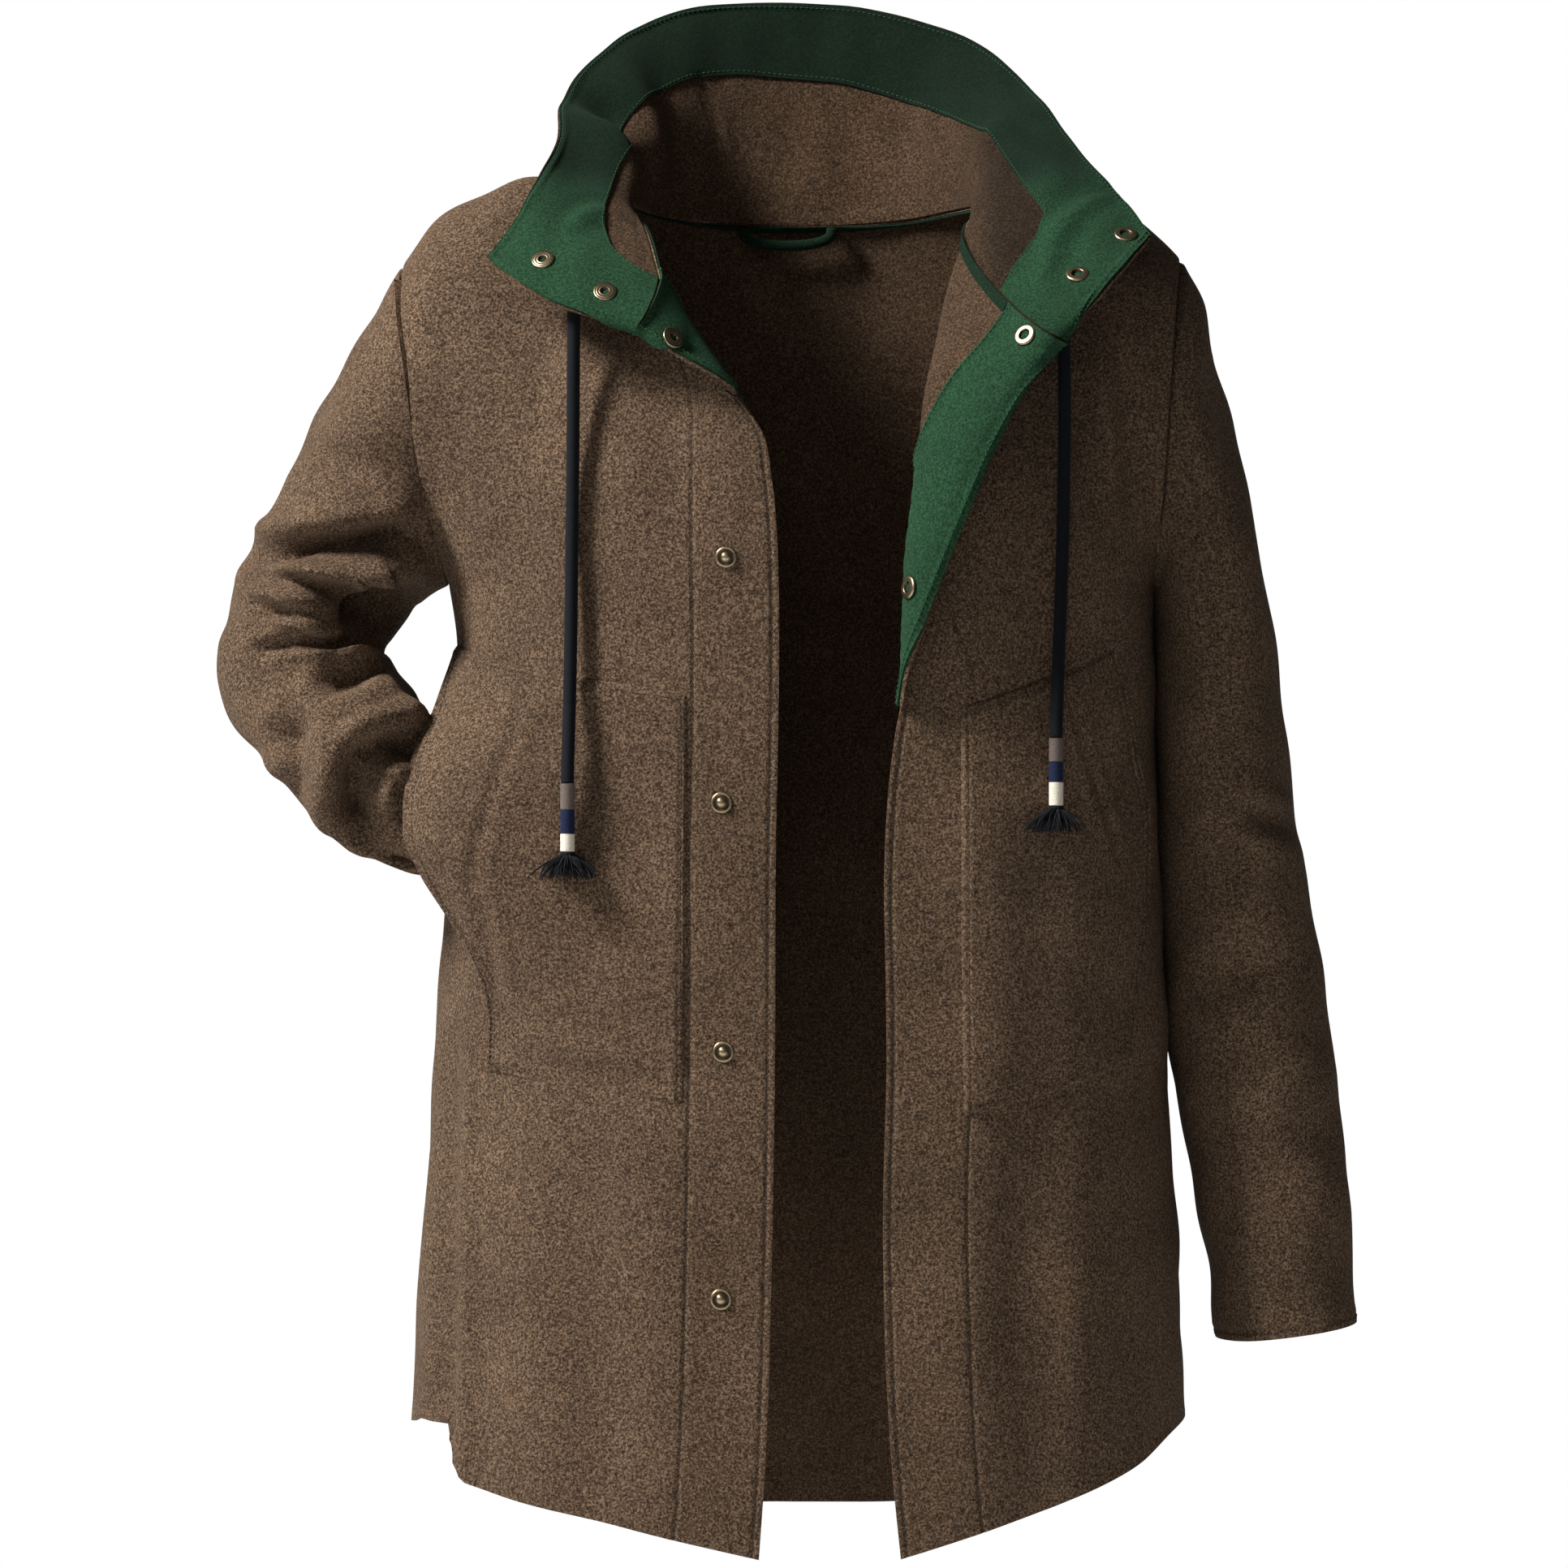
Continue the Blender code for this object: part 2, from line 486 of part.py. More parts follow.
def add_object(name, mesh_data, finish):
    """Turns a bmesh into a named object whose faces all point out."""
    bmesh.ops.recalc_face_normals(mesh_data, faces=mesh_data.faces)
    if mesh_data.calc_volume(signed=True) < 0:
        bmesh.ops.reverse_faces(mesh_data, faces=mesh_data.faces)
    mesh = bpy.data.meshes.new(name)
    mesh_data.to_mesh(mesh)
    mesh_data.free()
    mesh.materials.append(finish)
    mesh.shade_smooth()
    mesh.set_sharp_from_angle(angle=math.radians(50))
    made = bpy.data.objects.new(name, mesh)
    bpy.context.scene.collection.objects.link(made)
    return made


def cloth(name, grid, normals, finish, lift=0.0, wall=WALL, closed=False, cells=None):
    """A cloth wall over a grid: its outer side lifted off the grid along the normals."""
    rows, columns = grid.shape[:2]
    outer_points = grid + normals * lift
    inner_points = grid + normals * (lift - wall)
    shape = bmesh.new()
    outer = {}
    inner = {}
    spans = columns if closed else columns - 1
    used = [
        (row, column) for row in range(rows - 1) for column in range(spans)
        if cells is None or cells(row, column)
    ]
    border = {}
    for row, column in used:
        following = (column + 1) % columns
        corners = [(row, column), (row, following), (row + 1, following), (row + 1, column)]
        for corner in corners:
            if corner not in outer:
                outer[corner] = shape.verts.new(outer_points[corner])
                inner[corner] = shape.verts.new(inner_points[corner])
        for corner in ((0, 1, 2), (0, 2, 3)):
            shape.faces.new([outer[corners[point]] for point in corner])
            shape.faces.new([inner[corners[point]] for point in reversed(corner)])
        for start, end in zip(corners, corners[1:] + corners[:1]):
            if (end, start) in border:
                del border[(end, start)]
            else:
                border[(start, end)] = True
    for start, end in border:
        shape.faces.new([outer[end], outer[start], inner[start], inner[end]])
    return add_object(name, shape, finish)


def sleeve_grid(table, side, loop):
    """Rings of a sleeve: the armhole seam first, then ovals that span its outer and inner edge."""
    rings = [loop]
    half = len(loop) // 2
    angles = [math.pi * (1 - step / half) for step in range(2 * half)]
    for place in np.linspace(0, 1, SLEEVE_RINGS + 1)[1:]:
        outer_x, outer_z, inner_x, inner_z, middle_y, depth, turn = read_table(table, place)
        outer = np.array([outer_x, middle_y, outer_z])
        inner = np.array([inner_x, middle_y, inner_z])
        reach = (outer - inner) / 2
        swing = math.radians(turn)
        thick = np.array([side * math.sin(swing), -math.cos(swing), 0.0]) * depth
        ring = []
        for angle in angles:
            up = math.copysign(abs(math.cos(angle)) ** 0.92, math.cos(angle))
            out = math.copysign(abs(math.sin(angle)) ** 0.92, math.sin(angle))
            ring.append((outer + inner) / 2 + reach * up + thick * out)
        rings.append(np.array(ring))
    return np.array(rings)


def skin(side, share, z):
    """A point of a front below the armpit and its outward direction."""
    def place(at_share, at_z):
        point = wide_point(side, FRONT, at_share, at_z)
        point[1] -= fold_rise(point) * math.sin(min(at_share, 1) * math.pi / 2)
        return point

    step = 0.004
    across = place(share + step, z) - place(share - step, z)
    upward = place(share, z + step) - place(share, z - step)
    return place(share, z), unit(np.cross(across, upward)) * -side


def pocket_grid(side, table):
    """Patch pocket: the front's own points moved out, its side edge stood off round a hand's room."""
    points = []
    for up in np.linspace(0, 1, POCKET_ROWS):
        side_x, side_z, stand, front_x, front_z = read_table(table, up)
        first = share_at(side, side_x, side_z)
        last = share_at(side, front_x, front_z)
        row = []
        for across in np.linspace(0, 1, POCKET_COLUMNS):
            z = side_z + (front_z - side_z) * across
            point, outward = skin(side, first + (last - first) * across, z)
            away = min(abs(front_x - side_x) * across * 1.25 / POCKET_REACH, 1.0)
            lift = POCKET_LIFT + stand * math.cos(away * math.pi / 2) ** 2
            row.append(point + outward * (lift + WALL))
        points.append(row)
    return np.array(points)


def collar_grid(seam):
    """Collar between the neck seam and its rim, bent where it starts to lean out."""
    along = np.concatenate([[0], np.cumsum(np.linalg.norm(np.diff(seam, axis=0), axis=1))])
    rows = [[] for _ in COLLAR_LEVELS]
    for base, place in zip(seam, along / along[-1]):
        edges = read_table(COLLAR, place)
        knee, rim = edges[:3], edges[3:]
        low = np.linalg.norm(knee - base)
        bend = low / (low + np.linalg.norm(rim - knee))
        for row, height in zip(rows, COLLAR_LEVELS):
            row.append(
                base * (height - bend) * (height - 1) / bend
                + knee * height * (height - 1) / (bend * (bend - 1))
                + rim * height * (height - bend) / (1 - bend)
            )
    return np.array(rows), along / along[-1]


def turned(name, profile, centre, direction, finish):
    """A turned snap piece standing on a surface."""
    shape = bmesh.new()
    side = unit(np.cross(direction, np.array([0.13, 0.21, 0.97])))
    other = np.cross(direction, side)
    rings = []
    for radius, height in profile:
        rings.append([
            shape.verts.new(
                centre + direction * height
                + radius * (side * math.cos(turn) + other * math.sin(turn))
            )
            for turn in np.linspace(0, 2 * math.pi, SNAP_SIDES, endpoint=False)
        ])
    for lower, upper in zip(rings, rings[1:]):
        for corner in range(SNAP_SIDES):
            after = (corner + 1) % SNAP_SIDES
            shape.faces.new([lower[corner], lower[after], upper[after], upper[corner]])
    shape.faces.new(rings[0])
    shape.faces.new(rings[-1])
    return add_object(name, shape, finish)


def tube(name, points, radius, sides, finish):
    """A round strip along a line of points, with flat ends."""
    points = np.asarray(points, float)
    ahead = unit(np.gradient(points, axis=0))
    shape = bmesh.new()
    rings = []
    for point, direction in zip(points, ahead):
        side = unit(np.cross(direction, np.array([0.02, 1.0, 0.05])))
        other = np.cross(direction, side)
        rings.append([
            shape.verts.new(point + radius * (side * math.cos(turn) + other * math.sin(turn)))
            for turn in np.linspace(0, 2 * math.pi, sides, endpoint=False)
        ])
    for lower, upper in zip(rings, rings[1:]):
        for corner in range(sides):
            after = (corner + 1) % sides
            shape.faces.new([lower[corner], lower[after], upper[after], upper[corner]])
    shape.faces.new(rings[0])
    shape.faces.new(rings[-1])
    return add_object(name, shape, finish)


def on_grid(grid, row, column):
    """A value between the points of a grid."""
    row = min(max(row, 0), len(grid) - 1.001)
    column = min(max(column, 0), grid.shape[1] - 1.001)
    r, c = int(row), int(column)
    a, b = row - r, column - c
    return (
        grid[r, c] * (1 - a) * (1 - b) + grid[r + 1, c] * a * (1 - b)
        + grid[r, c + 1] * (1 - a) * b + grid[r + 1, c + 1] * a * b
    )


def near_edge(grid, normals, distance, z):
    """Place and outward direction on a front, at a distance from its edge and a height."""
    steps = np.array(FACING_STEPS)[::-1]
    places = grid.shape[1] - 1 - np.arange(len(steps))
    column = float(np.interp(distance, steps, places))
    heights = [on_grid(grid, row, column)[2] for row in range(len(grid))]
    row = float(np.interp(z, heights, np.arange(len(grid))))
    return seat(grid, normals, row, column)


def seat(grid, normals, row, column):
    """Where a snap sits: its centre, the outward direction, and how far the cloth dips either way there."""
    centre = on_grid(grid, row, column)
    outward = unit(on_grid(normals, row, column))
    rises = [0.0]
    for rows in np.linspace(-1, 1, 9):
        for columns in np.linspace(-1, 1, 9):
            step = on_grid(grid, row + rows, column + columns) - centre
            rise = float(step @ outward)
            if np.linalg.norm(step - rise * outward) < SNAP_REACH:
                rises.append(rise)
    return centre, outward, max(rises), -min(rises)


def build_snaps(grids, normals, collar, collar_normals, shares, finish):
    """Studs through the right edge with plates behind them, sockets in the left edge."""
    inner = WALL + FACING_GAP + FACING_WALL + SNAP_GAP
    places = {}
    for side, edge_snaps, collar_snaps in (
        ("right", EDGE_SNAPS_RIGHT, COLLAR_SNAPS_RIGHT), ("left", EDGE_SNAPS_LEFT, COLLAR_SNAPS_LEFT),
    ):
        front = "front_" + side
        found = [near_edge(grids[front], normals[front], *snap) for snap in edge_snaps]
        for share, height in collar_snaps:
            column = float(np.interp(share, shares, np.arange(len(shares))))
            row = float(np.interp(height, COLLAR_LEVELS, np.arange(len(COLLAR_LEVELS))))
            found.append(seat(collar, collar_normals, row, column))
        places[side] = found
    for number, (place, outward, rise, dip) in enumerate(places["right"], 1):
        turned(f"stud_{number}", STUD_PROFILE, place + outward * (SNAP_GAP + rise), outward, finish)
        turned(f"plate_{number}", PLATE_PROFILE, place - outward * (inner + dip), -outward, finish)
    for number, (place, outward, rise, dip) in enumerate(places["left"], 1):
        turned(f"socket_{number}", SOCKET_PROFILE, place - outward * (inner + dip), -outward, finish)


def build_binding(grids, normals, seam, seam_normals, finish):
    """Tape over the neck seam, inside, from one front facing to the other, and its hanger loop."""
    below = np.vstack([
        grids["front_right"][-2, SHOULDER_COLUMNS:][::-1],
        grids["back"][-2, SHOULDER_COLUMNS:-SHOULDER_COLUMNS][1:-1],
        grids["front_left"][-2, SHOULDER_COLUMNS:],
    ])
    below_normals = np.vstack([
        normals["front_right"][-2, SHOULDER_COLUMNS:][::-1],
        normals["back"][-2, SHOULDER_COLUMNS:-SHOULDER_COLUMNS][1:-1],
        normals["front_left"][-2, SHOULDER_COLUMNS:],
    ])
    keep = slice(len(FACING_STEPS) - 1, len(seam) - len(FACING_STEPS) + 1)
    span = np.linalg.norm(below - seam, axis=1, keepdims=True)
    rows = []
    outward = []
    for down in (BINDING_DEPTH, BINDING_DEPTH / 2, 0.0006):
        share = np.minimum(down / span, 1.0)
        rows.append((seam + (below - seam) * share)[keep])
        outward.append(unit(seam_normals + (below_normals - seam_normals) * share)[keep])
    grid = shrink(np.array(rows), first=2 * SEAM, last=2 * SEAM)
    outward = np.array(outward)
    lift = -(WALL + 3 * GAP)
    cloth("neck_binding", grid, outward, finish, lift=lift, wall=BINDING_WALL)
    away = grid[1] + outward[1] * (lift - BINDING_WALL - LOOP_RADIUS - GAP)
    ends = [
        np.array([np.interp(x, away[:, 0], away[:, axis]) for axis in range(3)]) for x in LOOP_ENDS_X
    ]
    points = []
    for turn in np.linspace(0, math.pi, 13):
        share = (1 - math.cos(turn)) / 2
        sag = math.sin(turn) ** 0.6 * LOOP_DROP
        points.append(ends[0] + (ends[1] - ends[0]) * share + np.array([0, -0.10 * sag, -sag]))
    tube("hanger_loop", points, LOOP_RADIUS, 6, finish)


def build_cord(side, route, wraps, finishes):
    """A drawstring: its braid, three thread wraps and the tassel that its strands open into."""
    curve = bpy.data.curves.new("cord_" + side, "CURVE")
    curve.dimensions = "3D"
    spline = curve.splines.new("POLY")
    spline.points.add(len(route) - 1)
    for point, place in zip(spline.points, route):
        point.co = (*place, 1.0)
    curve.bevel_depth = CORD_RADIUS
    curve.bevel_resolution = CORD_SIDES
    curve.use_fill_caps = True
    curve.materials.append(finishes["cord"])
    cord = bpy.data.objects.new("cord_" + side, curve)
    bpy.context.scene.collection.objects.link(cord)
    down = np.array([0.0, 0.0, -1.0])
    top = np.array(route[-1]) + down * GAP
    for name, height in zip(WRAP_NAMES, wraps):
        profile = ((WRAP_RADIUS, 0.0), (WRAP_RADIUS, height - GAP))
        turned(f"{name}_{side}", profile, top, down, finishes[name])
        top = top + down * height
    build_tassel("tassel_" + side, top, finishes["cord"])


def build_tassel(name, top, finish):
    """A short head whose lower faces are drawn out into strands that spread and never touch."""
    shape = bmesh.new()
    rings = []
    for radius, drop in (
        (WRAP_RADIUS, 0.0), (WRAP_RADIUS, TASSEL_HEAD),
        (STRAND_ROOTS[0], TASSEL_HEAD), (STRAND_ROOTS[1], TASSEL_HEAD),
    ):
        rings.append([
            shape.verts.new((
                top[0] + radius * math.cos(turn), top[1] + radius * math.sin(turn), top[2] - drop,
            ))
            for turn in np.linspace(0, 2 * math.pi, STRANDS_ROUND, endpoint=False)
        ])
    roots = []
    for order, (outer, inner) in enumerate(zip(rings, rings[1:])):
        for corner in range(STRANDS_ROUND):
            after = (corner + 1) % STRANDS_ROUND
            face = shape.faces.new([outer[corner], outer[after], inner[after], inner[corner]])
            if order:
                roots.append((face, order))
    shape.faces.new(rings[0])
    shape.faces.new(rings[-1])
    bmesh.ops.inset_individual(shape, faces=[face for face, _ in roots], thickness=0.0002)
    for number, (face, order) in enumerate(roots):
        centre = np.array(face.calc_center_median())
        reach = unit(np.array([centre[0] - top[0], centre[1] - top[1], 0.0]))
        reach[1] *= 0.10 if reach[1] > 0 else 0.55
        spread = (0.85, 0.40)[order - 1] * (1 + 0.18 * math.sin(2.4 * number + order))
        length = STRAND_LENGTH * (1 + 0.12 * math.sin(1.7 * number))
        for step in range(STRAND_STEPS):
            share = (step + 1) / STRAND_STEPS
            outward = reach * spread * (1.25 - 0.5 * share)
            move = (outward + np.array([0, 0, -1.0])) * length / STRAND_STEPS * 0.8
            face = bmesh.ops.extrude_discrete_faces(shape, faces=[face])["faces"][0]
            bmesh.ops.translate(shape, verts=list(face.verts), vec=tuple(move))
    return add_object(name, shape, finish)


def build_body():
    """Both fronts and the back on shared seam lines; returns their grids and outward directions."""
    levels = row_levels()
    armpit = LOWER_ROWS - 1
    grids = {
        "front_right": np.array([front_row(RIGHT, level) for level in levels]),
        "front_left": np.array([front_row(LEFT, level) for level in levels]),
        "back": np.array([back_row(level) for level in levels]),
    }
    normals = {
        name: surface_normals(grid, flip=name != "front_right") for name, grid in grids.items()
    }
    last = grids["back"].shape[1] - 1
    for name, column, order in (("front_right", 0, 1), ("front_left", last, -1)):
        back_normals = normals["back"][:, ::order]
        side = unit(normals[name][:armpit + 1, 0] + back_normals[:armpit + 1, 0])
        normals[name][:armpit + 1, 0] = side
        back_normals[:armpit + 1, 0] = side
        shoulder = slice(0, SHOULDER_COLUMNS + 1)
        top = unit(normals[name][-1, shoulder] + back_normals[-1, shoulder])
        normals[name][-1, shoulder] = top
        back_normals[-1, shoulder] = top
    return grids, normals


def armhole_loop(grids, normals, name):
    """The armhole seam as one ring: armpit, front, shoulder tip, back."""
    order = 1 if name == "front_right" else -1
    armpit = LOWER_ROWS - 1
    back_grid = grids["back"][:, ::order]
    back_normals = normals["back"][:, ::order]
    ring = np.vstack([grids[name][armpit:, 0], back_grid[-2:armpit:-1, 0]])
    ring_normals = np.vstack([normals[name][armpit:, 0], back_normals[-2:armpit:-1, 0]])
    return ring, ring_normals


def share_armhole(normals, name, ring_normals):
    """Gives the body's armhole edges the directions that they share with the sleeve."""
    order = 1 if name == "front_right" else -1
    armpit = LOWER_ROWS - 1
    back_normals = normals["back"][:, ::order]
    rows = UPPER_ROWS + 1
    normals[name][armpit:, 0] = ring_normals[:rows]
    back_normals[-2:armpit:-1, 0] = ring_normals[rows:]
    back_normals[-1, 0] = ring_normals[rows - 1]
    back_normals[armpit, 0] = ring_normals[0]


def main():
    for old in list(bpy.data.objects):
        bpy.data.objects.remove(old, do_unlink=True)
    loden = material("loden_brown", (0.115, 0.078, 0.050), 0.95)
    green = material("loden_green", (0.018, 0.075, 0.034), 0.95)
    tape = material("neck_tape", (0.006, 0.022, 0.010), 0.85)
    brass = material("antique_brass", (0.42, 0.31, 0.16), 0.35, 1.0)

    grids, normals = build_body()

    sleeves = {}
    for name, front, side, table in (
        ("sleeve_right", "front_right", RIGHT, SLEEVE_RIGHT),
        ("sleeve_left", "front_left", LEFT, SLEEVE_LEFT),
    ):
        ring, ring_normals = armhole_loop(grids, normals, front)
        grid = sleeve_grid(table, side, ring)
        outward = surface_normals(grid, flip=False, closed=True)
        middle = grid.mean(axis=1, keepdims=True)
        if ((grid - middle) * outward).sum() < 0:
            outward = -outward
        outward[0] = unit(outward[0] + ring_normals)
        share_armhole(normals, front, outward[0])
        grid[0] += unit(grid[1] - grid[0]) * 4 * SEAM
        sleeves[name] = (grid, outward)

    seam = np.vstack([
        grids["front_right"][-1, SHOULDER_COLUMNS:][::-1],
        grids["back"][-1, SHOULDER_COLUMNS:-SHOULDER_COLUMNS][1:-1],
        grids["front_left"][-1, SHOULDER_COLUMNS:],
    ])
    collar, shares = collar_grid(seam)
    collar_normals = surface_normals(collar, flip=True)
    rights = grids["front_right"].shape[1] - SHOULDER_COLUMNS
    lefts = rights
    body_side = np.vstack([
        normals["front_right"][-1, SHOULDER_COLUMNS:][::-1],
        normals["back"][-1, SHOULDER_COLUMNS:-SHOULDER_COLUMNS][1:-1],
        normals["front_left"][-1, SHOULDER_COLUMNS:],
    ])
    collar_normals[0] = unit(collar_normals[0] + body_side)
    normals["front_right"][-1, SHOULDER_COLUMNS:] = collar_normals[0][:rights][::-1]
    normals["front_left"][-1, SHOULDER_COLUMNS:] = collar_normals[0][-lefts:]
    normals["back"][-1, SHOULDER_COLUMNS + 1:-SHOULDER_COLUMNS - 1] = collar_normals[0][rights:-lefts]
    normals["back"][-1, SHOULDER_COLUMNS] = collar_normals[0][rights - 1]
    normals["back"][-1, -SHOULDER_COLUMNS - 1] = collar_normals[0][-lefts]

    for name in ("front_right", "front_left"):
        cloth(name, shrink(grids[name], top=SEAM, first=1.5 * SEAM), normals[name], loden)
    cloth("back", shrink(grids["back"], top=SEAM, first=SEAM, last=SEAM), normals["back"], loden)
    for name, (grid, outward) in sleeves.items():
        cloth(name, grid, outward, loden, closed=True)
    cloth("collar", shrink(collar, bottom=COLLAR_GAP), collar_normals, loden)

    inside = -(WALL + FACING_GAP)
    steps = len(FACING_STEPS)
    ends = collar.shape[1] - steps
    cloth(
        "collar_facing",
        shrink(collar, bottom=COLLAR_GAP, top=EDGE_INSET, first=EDGE_INSET, last=EDGE_INSET),
        collar_normals, green, lift=inside, wall=FACING_WALL,
        cells=lambda row, column: row >= BAND_FROM or column < steps - 1 or column >= ends,
    )
    for name in ("front_right", "front_left"):
        cloth(
            name.replace("front", "facing"),
            shrink(grids[name][:, -steps:], bottom=HEM_INSET, top=SEAM, last=FACING_INSET),
            normals[name][:, -steps:], green, lift=inside, wall=FACING_WALL,
        )

    for name, side, table in (("pocket_right", RIGHT, POCKET_RIGHT), ("pocket_left", LEFT, POCKET_LEFT)):
        grid = pocket_grid(side, table)
        cloth(name, grid, surface_normals(grid, flip=side == LEFT), loden)

    build_binding(grids, normals, seam, collar_normals[0], tape)
    build_snaps(grids, normals, collar, collar_normals, shares, brass)
    threads = {
        "cord": material("cord_braid", (0.011, 0.015, 0.022), 0.8),
        "wrap_grey": material("thread_grey", (0.12, 0.09, 0.08), 0.7),
        "wrap_navy": material("thread_navy", (0.017, 0.032, 0.09), 0.7),
        "wrap_cream": material("thread_cream", (0.75, 0.68, 0.55), 0.7),
    }
    build_cord("right", CORD_RIGHT, WRAPS_RIGHT, threads)
    build_cord("left", CORD_LEFT, WRAPS_LEFT, threads)


main()
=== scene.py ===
"""The loden coat as it is worn, with nobody in it: felted wool in brown and green, snaps and drawstrings.

Metres, +Z up, +X towards the wearer's left, +Y towards the coat's back, in the model's own frame.
"""
import math

import bpy
import numpy as np
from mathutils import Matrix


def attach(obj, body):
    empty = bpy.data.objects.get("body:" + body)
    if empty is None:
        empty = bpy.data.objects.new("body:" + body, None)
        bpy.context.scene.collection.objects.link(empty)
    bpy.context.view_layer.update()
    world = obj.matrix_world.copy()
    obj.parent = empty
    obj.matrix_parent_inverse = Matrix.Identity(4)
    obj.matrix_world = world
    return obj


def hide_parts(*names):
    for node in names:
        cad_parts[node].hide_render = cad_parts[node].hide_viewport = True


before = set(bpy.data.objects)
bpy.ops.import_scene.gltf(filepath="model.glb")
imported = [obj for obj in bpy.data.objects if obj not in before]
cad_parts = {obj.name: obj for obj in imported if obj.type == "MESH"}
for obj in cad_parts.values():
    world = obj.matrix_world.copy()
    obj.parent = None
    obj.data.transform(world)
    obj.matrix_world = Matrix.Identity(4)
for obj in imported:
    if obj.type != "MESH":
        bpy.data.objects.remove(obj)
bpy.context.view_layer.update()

# Camera
# A long lens at chest height, level, and a little to the coat's right of its middle.
LENS_MM = 118.08
CAMERA_PLACE = (-0.007, -3.2, -0.344)

camera_data = bpy.data.cameras.new("camera")
camera_data.lens = LENS_MM
camera_data.sensor_width = 36.0
camera = bpy.data.objects.new("camera", camera_data)
camera.location = CAMERA_PLACE
camera.rotation_euler = (math.radians(90), 0, 0)
bpy.context.scene.collection.objects.link(camera)
bpy.context.scene.camera = camera


# Drawstrings
# Two round braids of dark navy yarn that run in the collar and hang from it over the fronts.
# Each is plaited from sixteen carriers, so fine slanting ribs cross in small diamonds.
CORD_DIAMETER = 0.008
BRAID_SIDES = 32
BRAID_RING_STEP = 0.0009
BRAID_RELIEF = 0.00032
BRAID_PITCH = 0.0125
BRAID_CARRIERS = 8
CORD_COLOUR = (0.0030, 0.0040, 0.0064)
CORD_RIGHT = (
    (-0.133, -0.1145, -0.042), (-0.133, -0.116, -0.055), (-0.1331, -0.1165, -0.07),
    (-0.1332, -0.1167, -0.088), (-0.1333, -0.1168, -0.107), (-0.1334, -0.1169, -0.126),
    (-0.1335, -0.117, -0.145), (-0.1337, -0.1172, -0.164), (-0.1339, -0.1174, -0.183),
    (-0.1341, -0.1177, -0.202), (-0.1343, -0.1183, -0.221), (-0.1345, -0.1192, -0.24),
    (-0.1347, -0.1204, -0.259), (-0.135, -0.1221, -0.278), (-0.1353, -0.1243, -0.297),
    (-0.1357, -0.1278, -0.315), (-0.136, -0.1308, -0.33), (-0.1361, -0.1322, -0.339),
    (-0.1361, -0.1324, -0.3435),
)
CORD_LEFT = (
    (0.1607, -0.108, -0.0402), (0.1608, -0.109, -0.054), (0.1611, -0.1092, -0.07),
    (0.1614, -0.109, -0.088), (0.1616, -0.1085, -0.107), (0.1617, -0.108, -0.126),
    (0.1616, -0.1079, -0.145), (0.1613, -0.108, -0.164), (0.1609, -0.1083, -0.183),
    (0.1604, -0.109, -0.202), (0.1597, -0.1098, -0.221), (0.159, -0.111, -0.24),
    (0.1582, -0.1126, -0.259), (0.1574, -0.1146, -0.278), (0.1566, -0.117, -0.297),
    (0.1561, -0.1191, -0.311), (0.156, -0.1195, -0.3162),
)


def unit(vectors):
    return vectors / np.maximum(np.linalg.norm(vectors, axis=-1, keepdims=True), 1e-9)


def length_of(curve):
    return float(np.linalg.norm(np.diff(curve, axis=0), axis=1).sum())


def running_length(curve):
    return np.concatenate([[0], np.cumsum(np.linalg.norm(np.diff(curve, axis=0), axis=1))])


def read_columns(at, along, values):
    """Each column of values, known at the distances along, read at other distances."""
    return np.stack([np.interp(at, along, values[:, column]) for column in range(values.shape[1])], axis=-1)


def at_distances(curve, distances):
    return read_columns(distances, running_length(curve), curve)


def spaced(curve, count):
    """Points at equal distances along a line of points, both ends kept."""
    return at_distances(curve, np.linspace(0, length_of(curve), count))


def add_mesh(name, points, faces, finishes, face_finish=None):
    """A mesh object of points and faces, with one or more materials."""
    mesh = bpy.data.meshes.new(name)
    mesh.from_pydata([tuple(point) for point in points], [], [tuple(face) for face in faces])
    for finish in finishes:
        mesh.materials.append(finish)
    if face_finish is not None:
        mesh.polygons.foreach_set("material_index", face_finish)
    mesh.shade_smooth()
    made = bpy.data.objects.new(name, mesh)
    bpy.context.scene.collection.objects.link(made)
    return made


def tube_rings(line, radii, sides):
    """Points of rings round a line; radii is a function of the ring's number and its angles."""
    ahead = unit(np.gradient(line, axis=0))
    side = unit(np.cross(ahead[0], np.array([0.02, 1.0, 0.05])))
    rings = []
    angles = np.linspace(0, 2 * math.pi, sides, endpoint=False)
    for number, (point, direction) in enumerate(zip(line, ahead)):
        side = unit(side - direction * (side @ direction))
        other = np.cross(direction, side)
        radius = radii(number, angles)[:, None]
        rings.append(point + radius * (np.cos(angles)[:, None] * side + np.sin(angles)[:, None] * other))
    return np.array(rings)


def ring_faces(rings, sides, first=0):
    """Quads between rings of points, and a flat cap at each end."""
    faces = []
    for ring in range(rings - 1):
        for corner in range(sides):
            after = (corner + 1) % sides
            low = first + ring * sides
            faces.append((low + corner, low + after, low + sides + after, low + sides + corner))
    faces.append(tuple(first + corner for corner in reversed(range(sides))))
    faces.append(tuple(first + (rings - 1) * sides + corner for corner in range(sides)))
    return faces


def fitted(piece, replaced=None):
    """Fixes a piece to the coat and in place of the solid that it dresses."""
    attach(piece, "root")
    if replaced:
        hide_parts(replaced)


def node(tree, kind, inputs=None, **settings):
    """A shader node with its settings, and its inputs by name or number: a value or another node's output."""
    made = tree.nodes.new(kind)
    for setting, value in settings.items():
        setattr(made, setting, value)
    for key, value in (inputs or {}).items():
        if isinstance(value, bpy.types.NodeSocket):
            tree.links.new(value, made.inputs[key])
        else:
            made.inputs[key].default_value = value
    return made


def maths(tree, operation, first, second=None):
    inputs = {0: first} if second is None else {0: first, 1: second}
    return node(tree, "ShaderNodeMath", inputs, operation=operation).outputs[0]


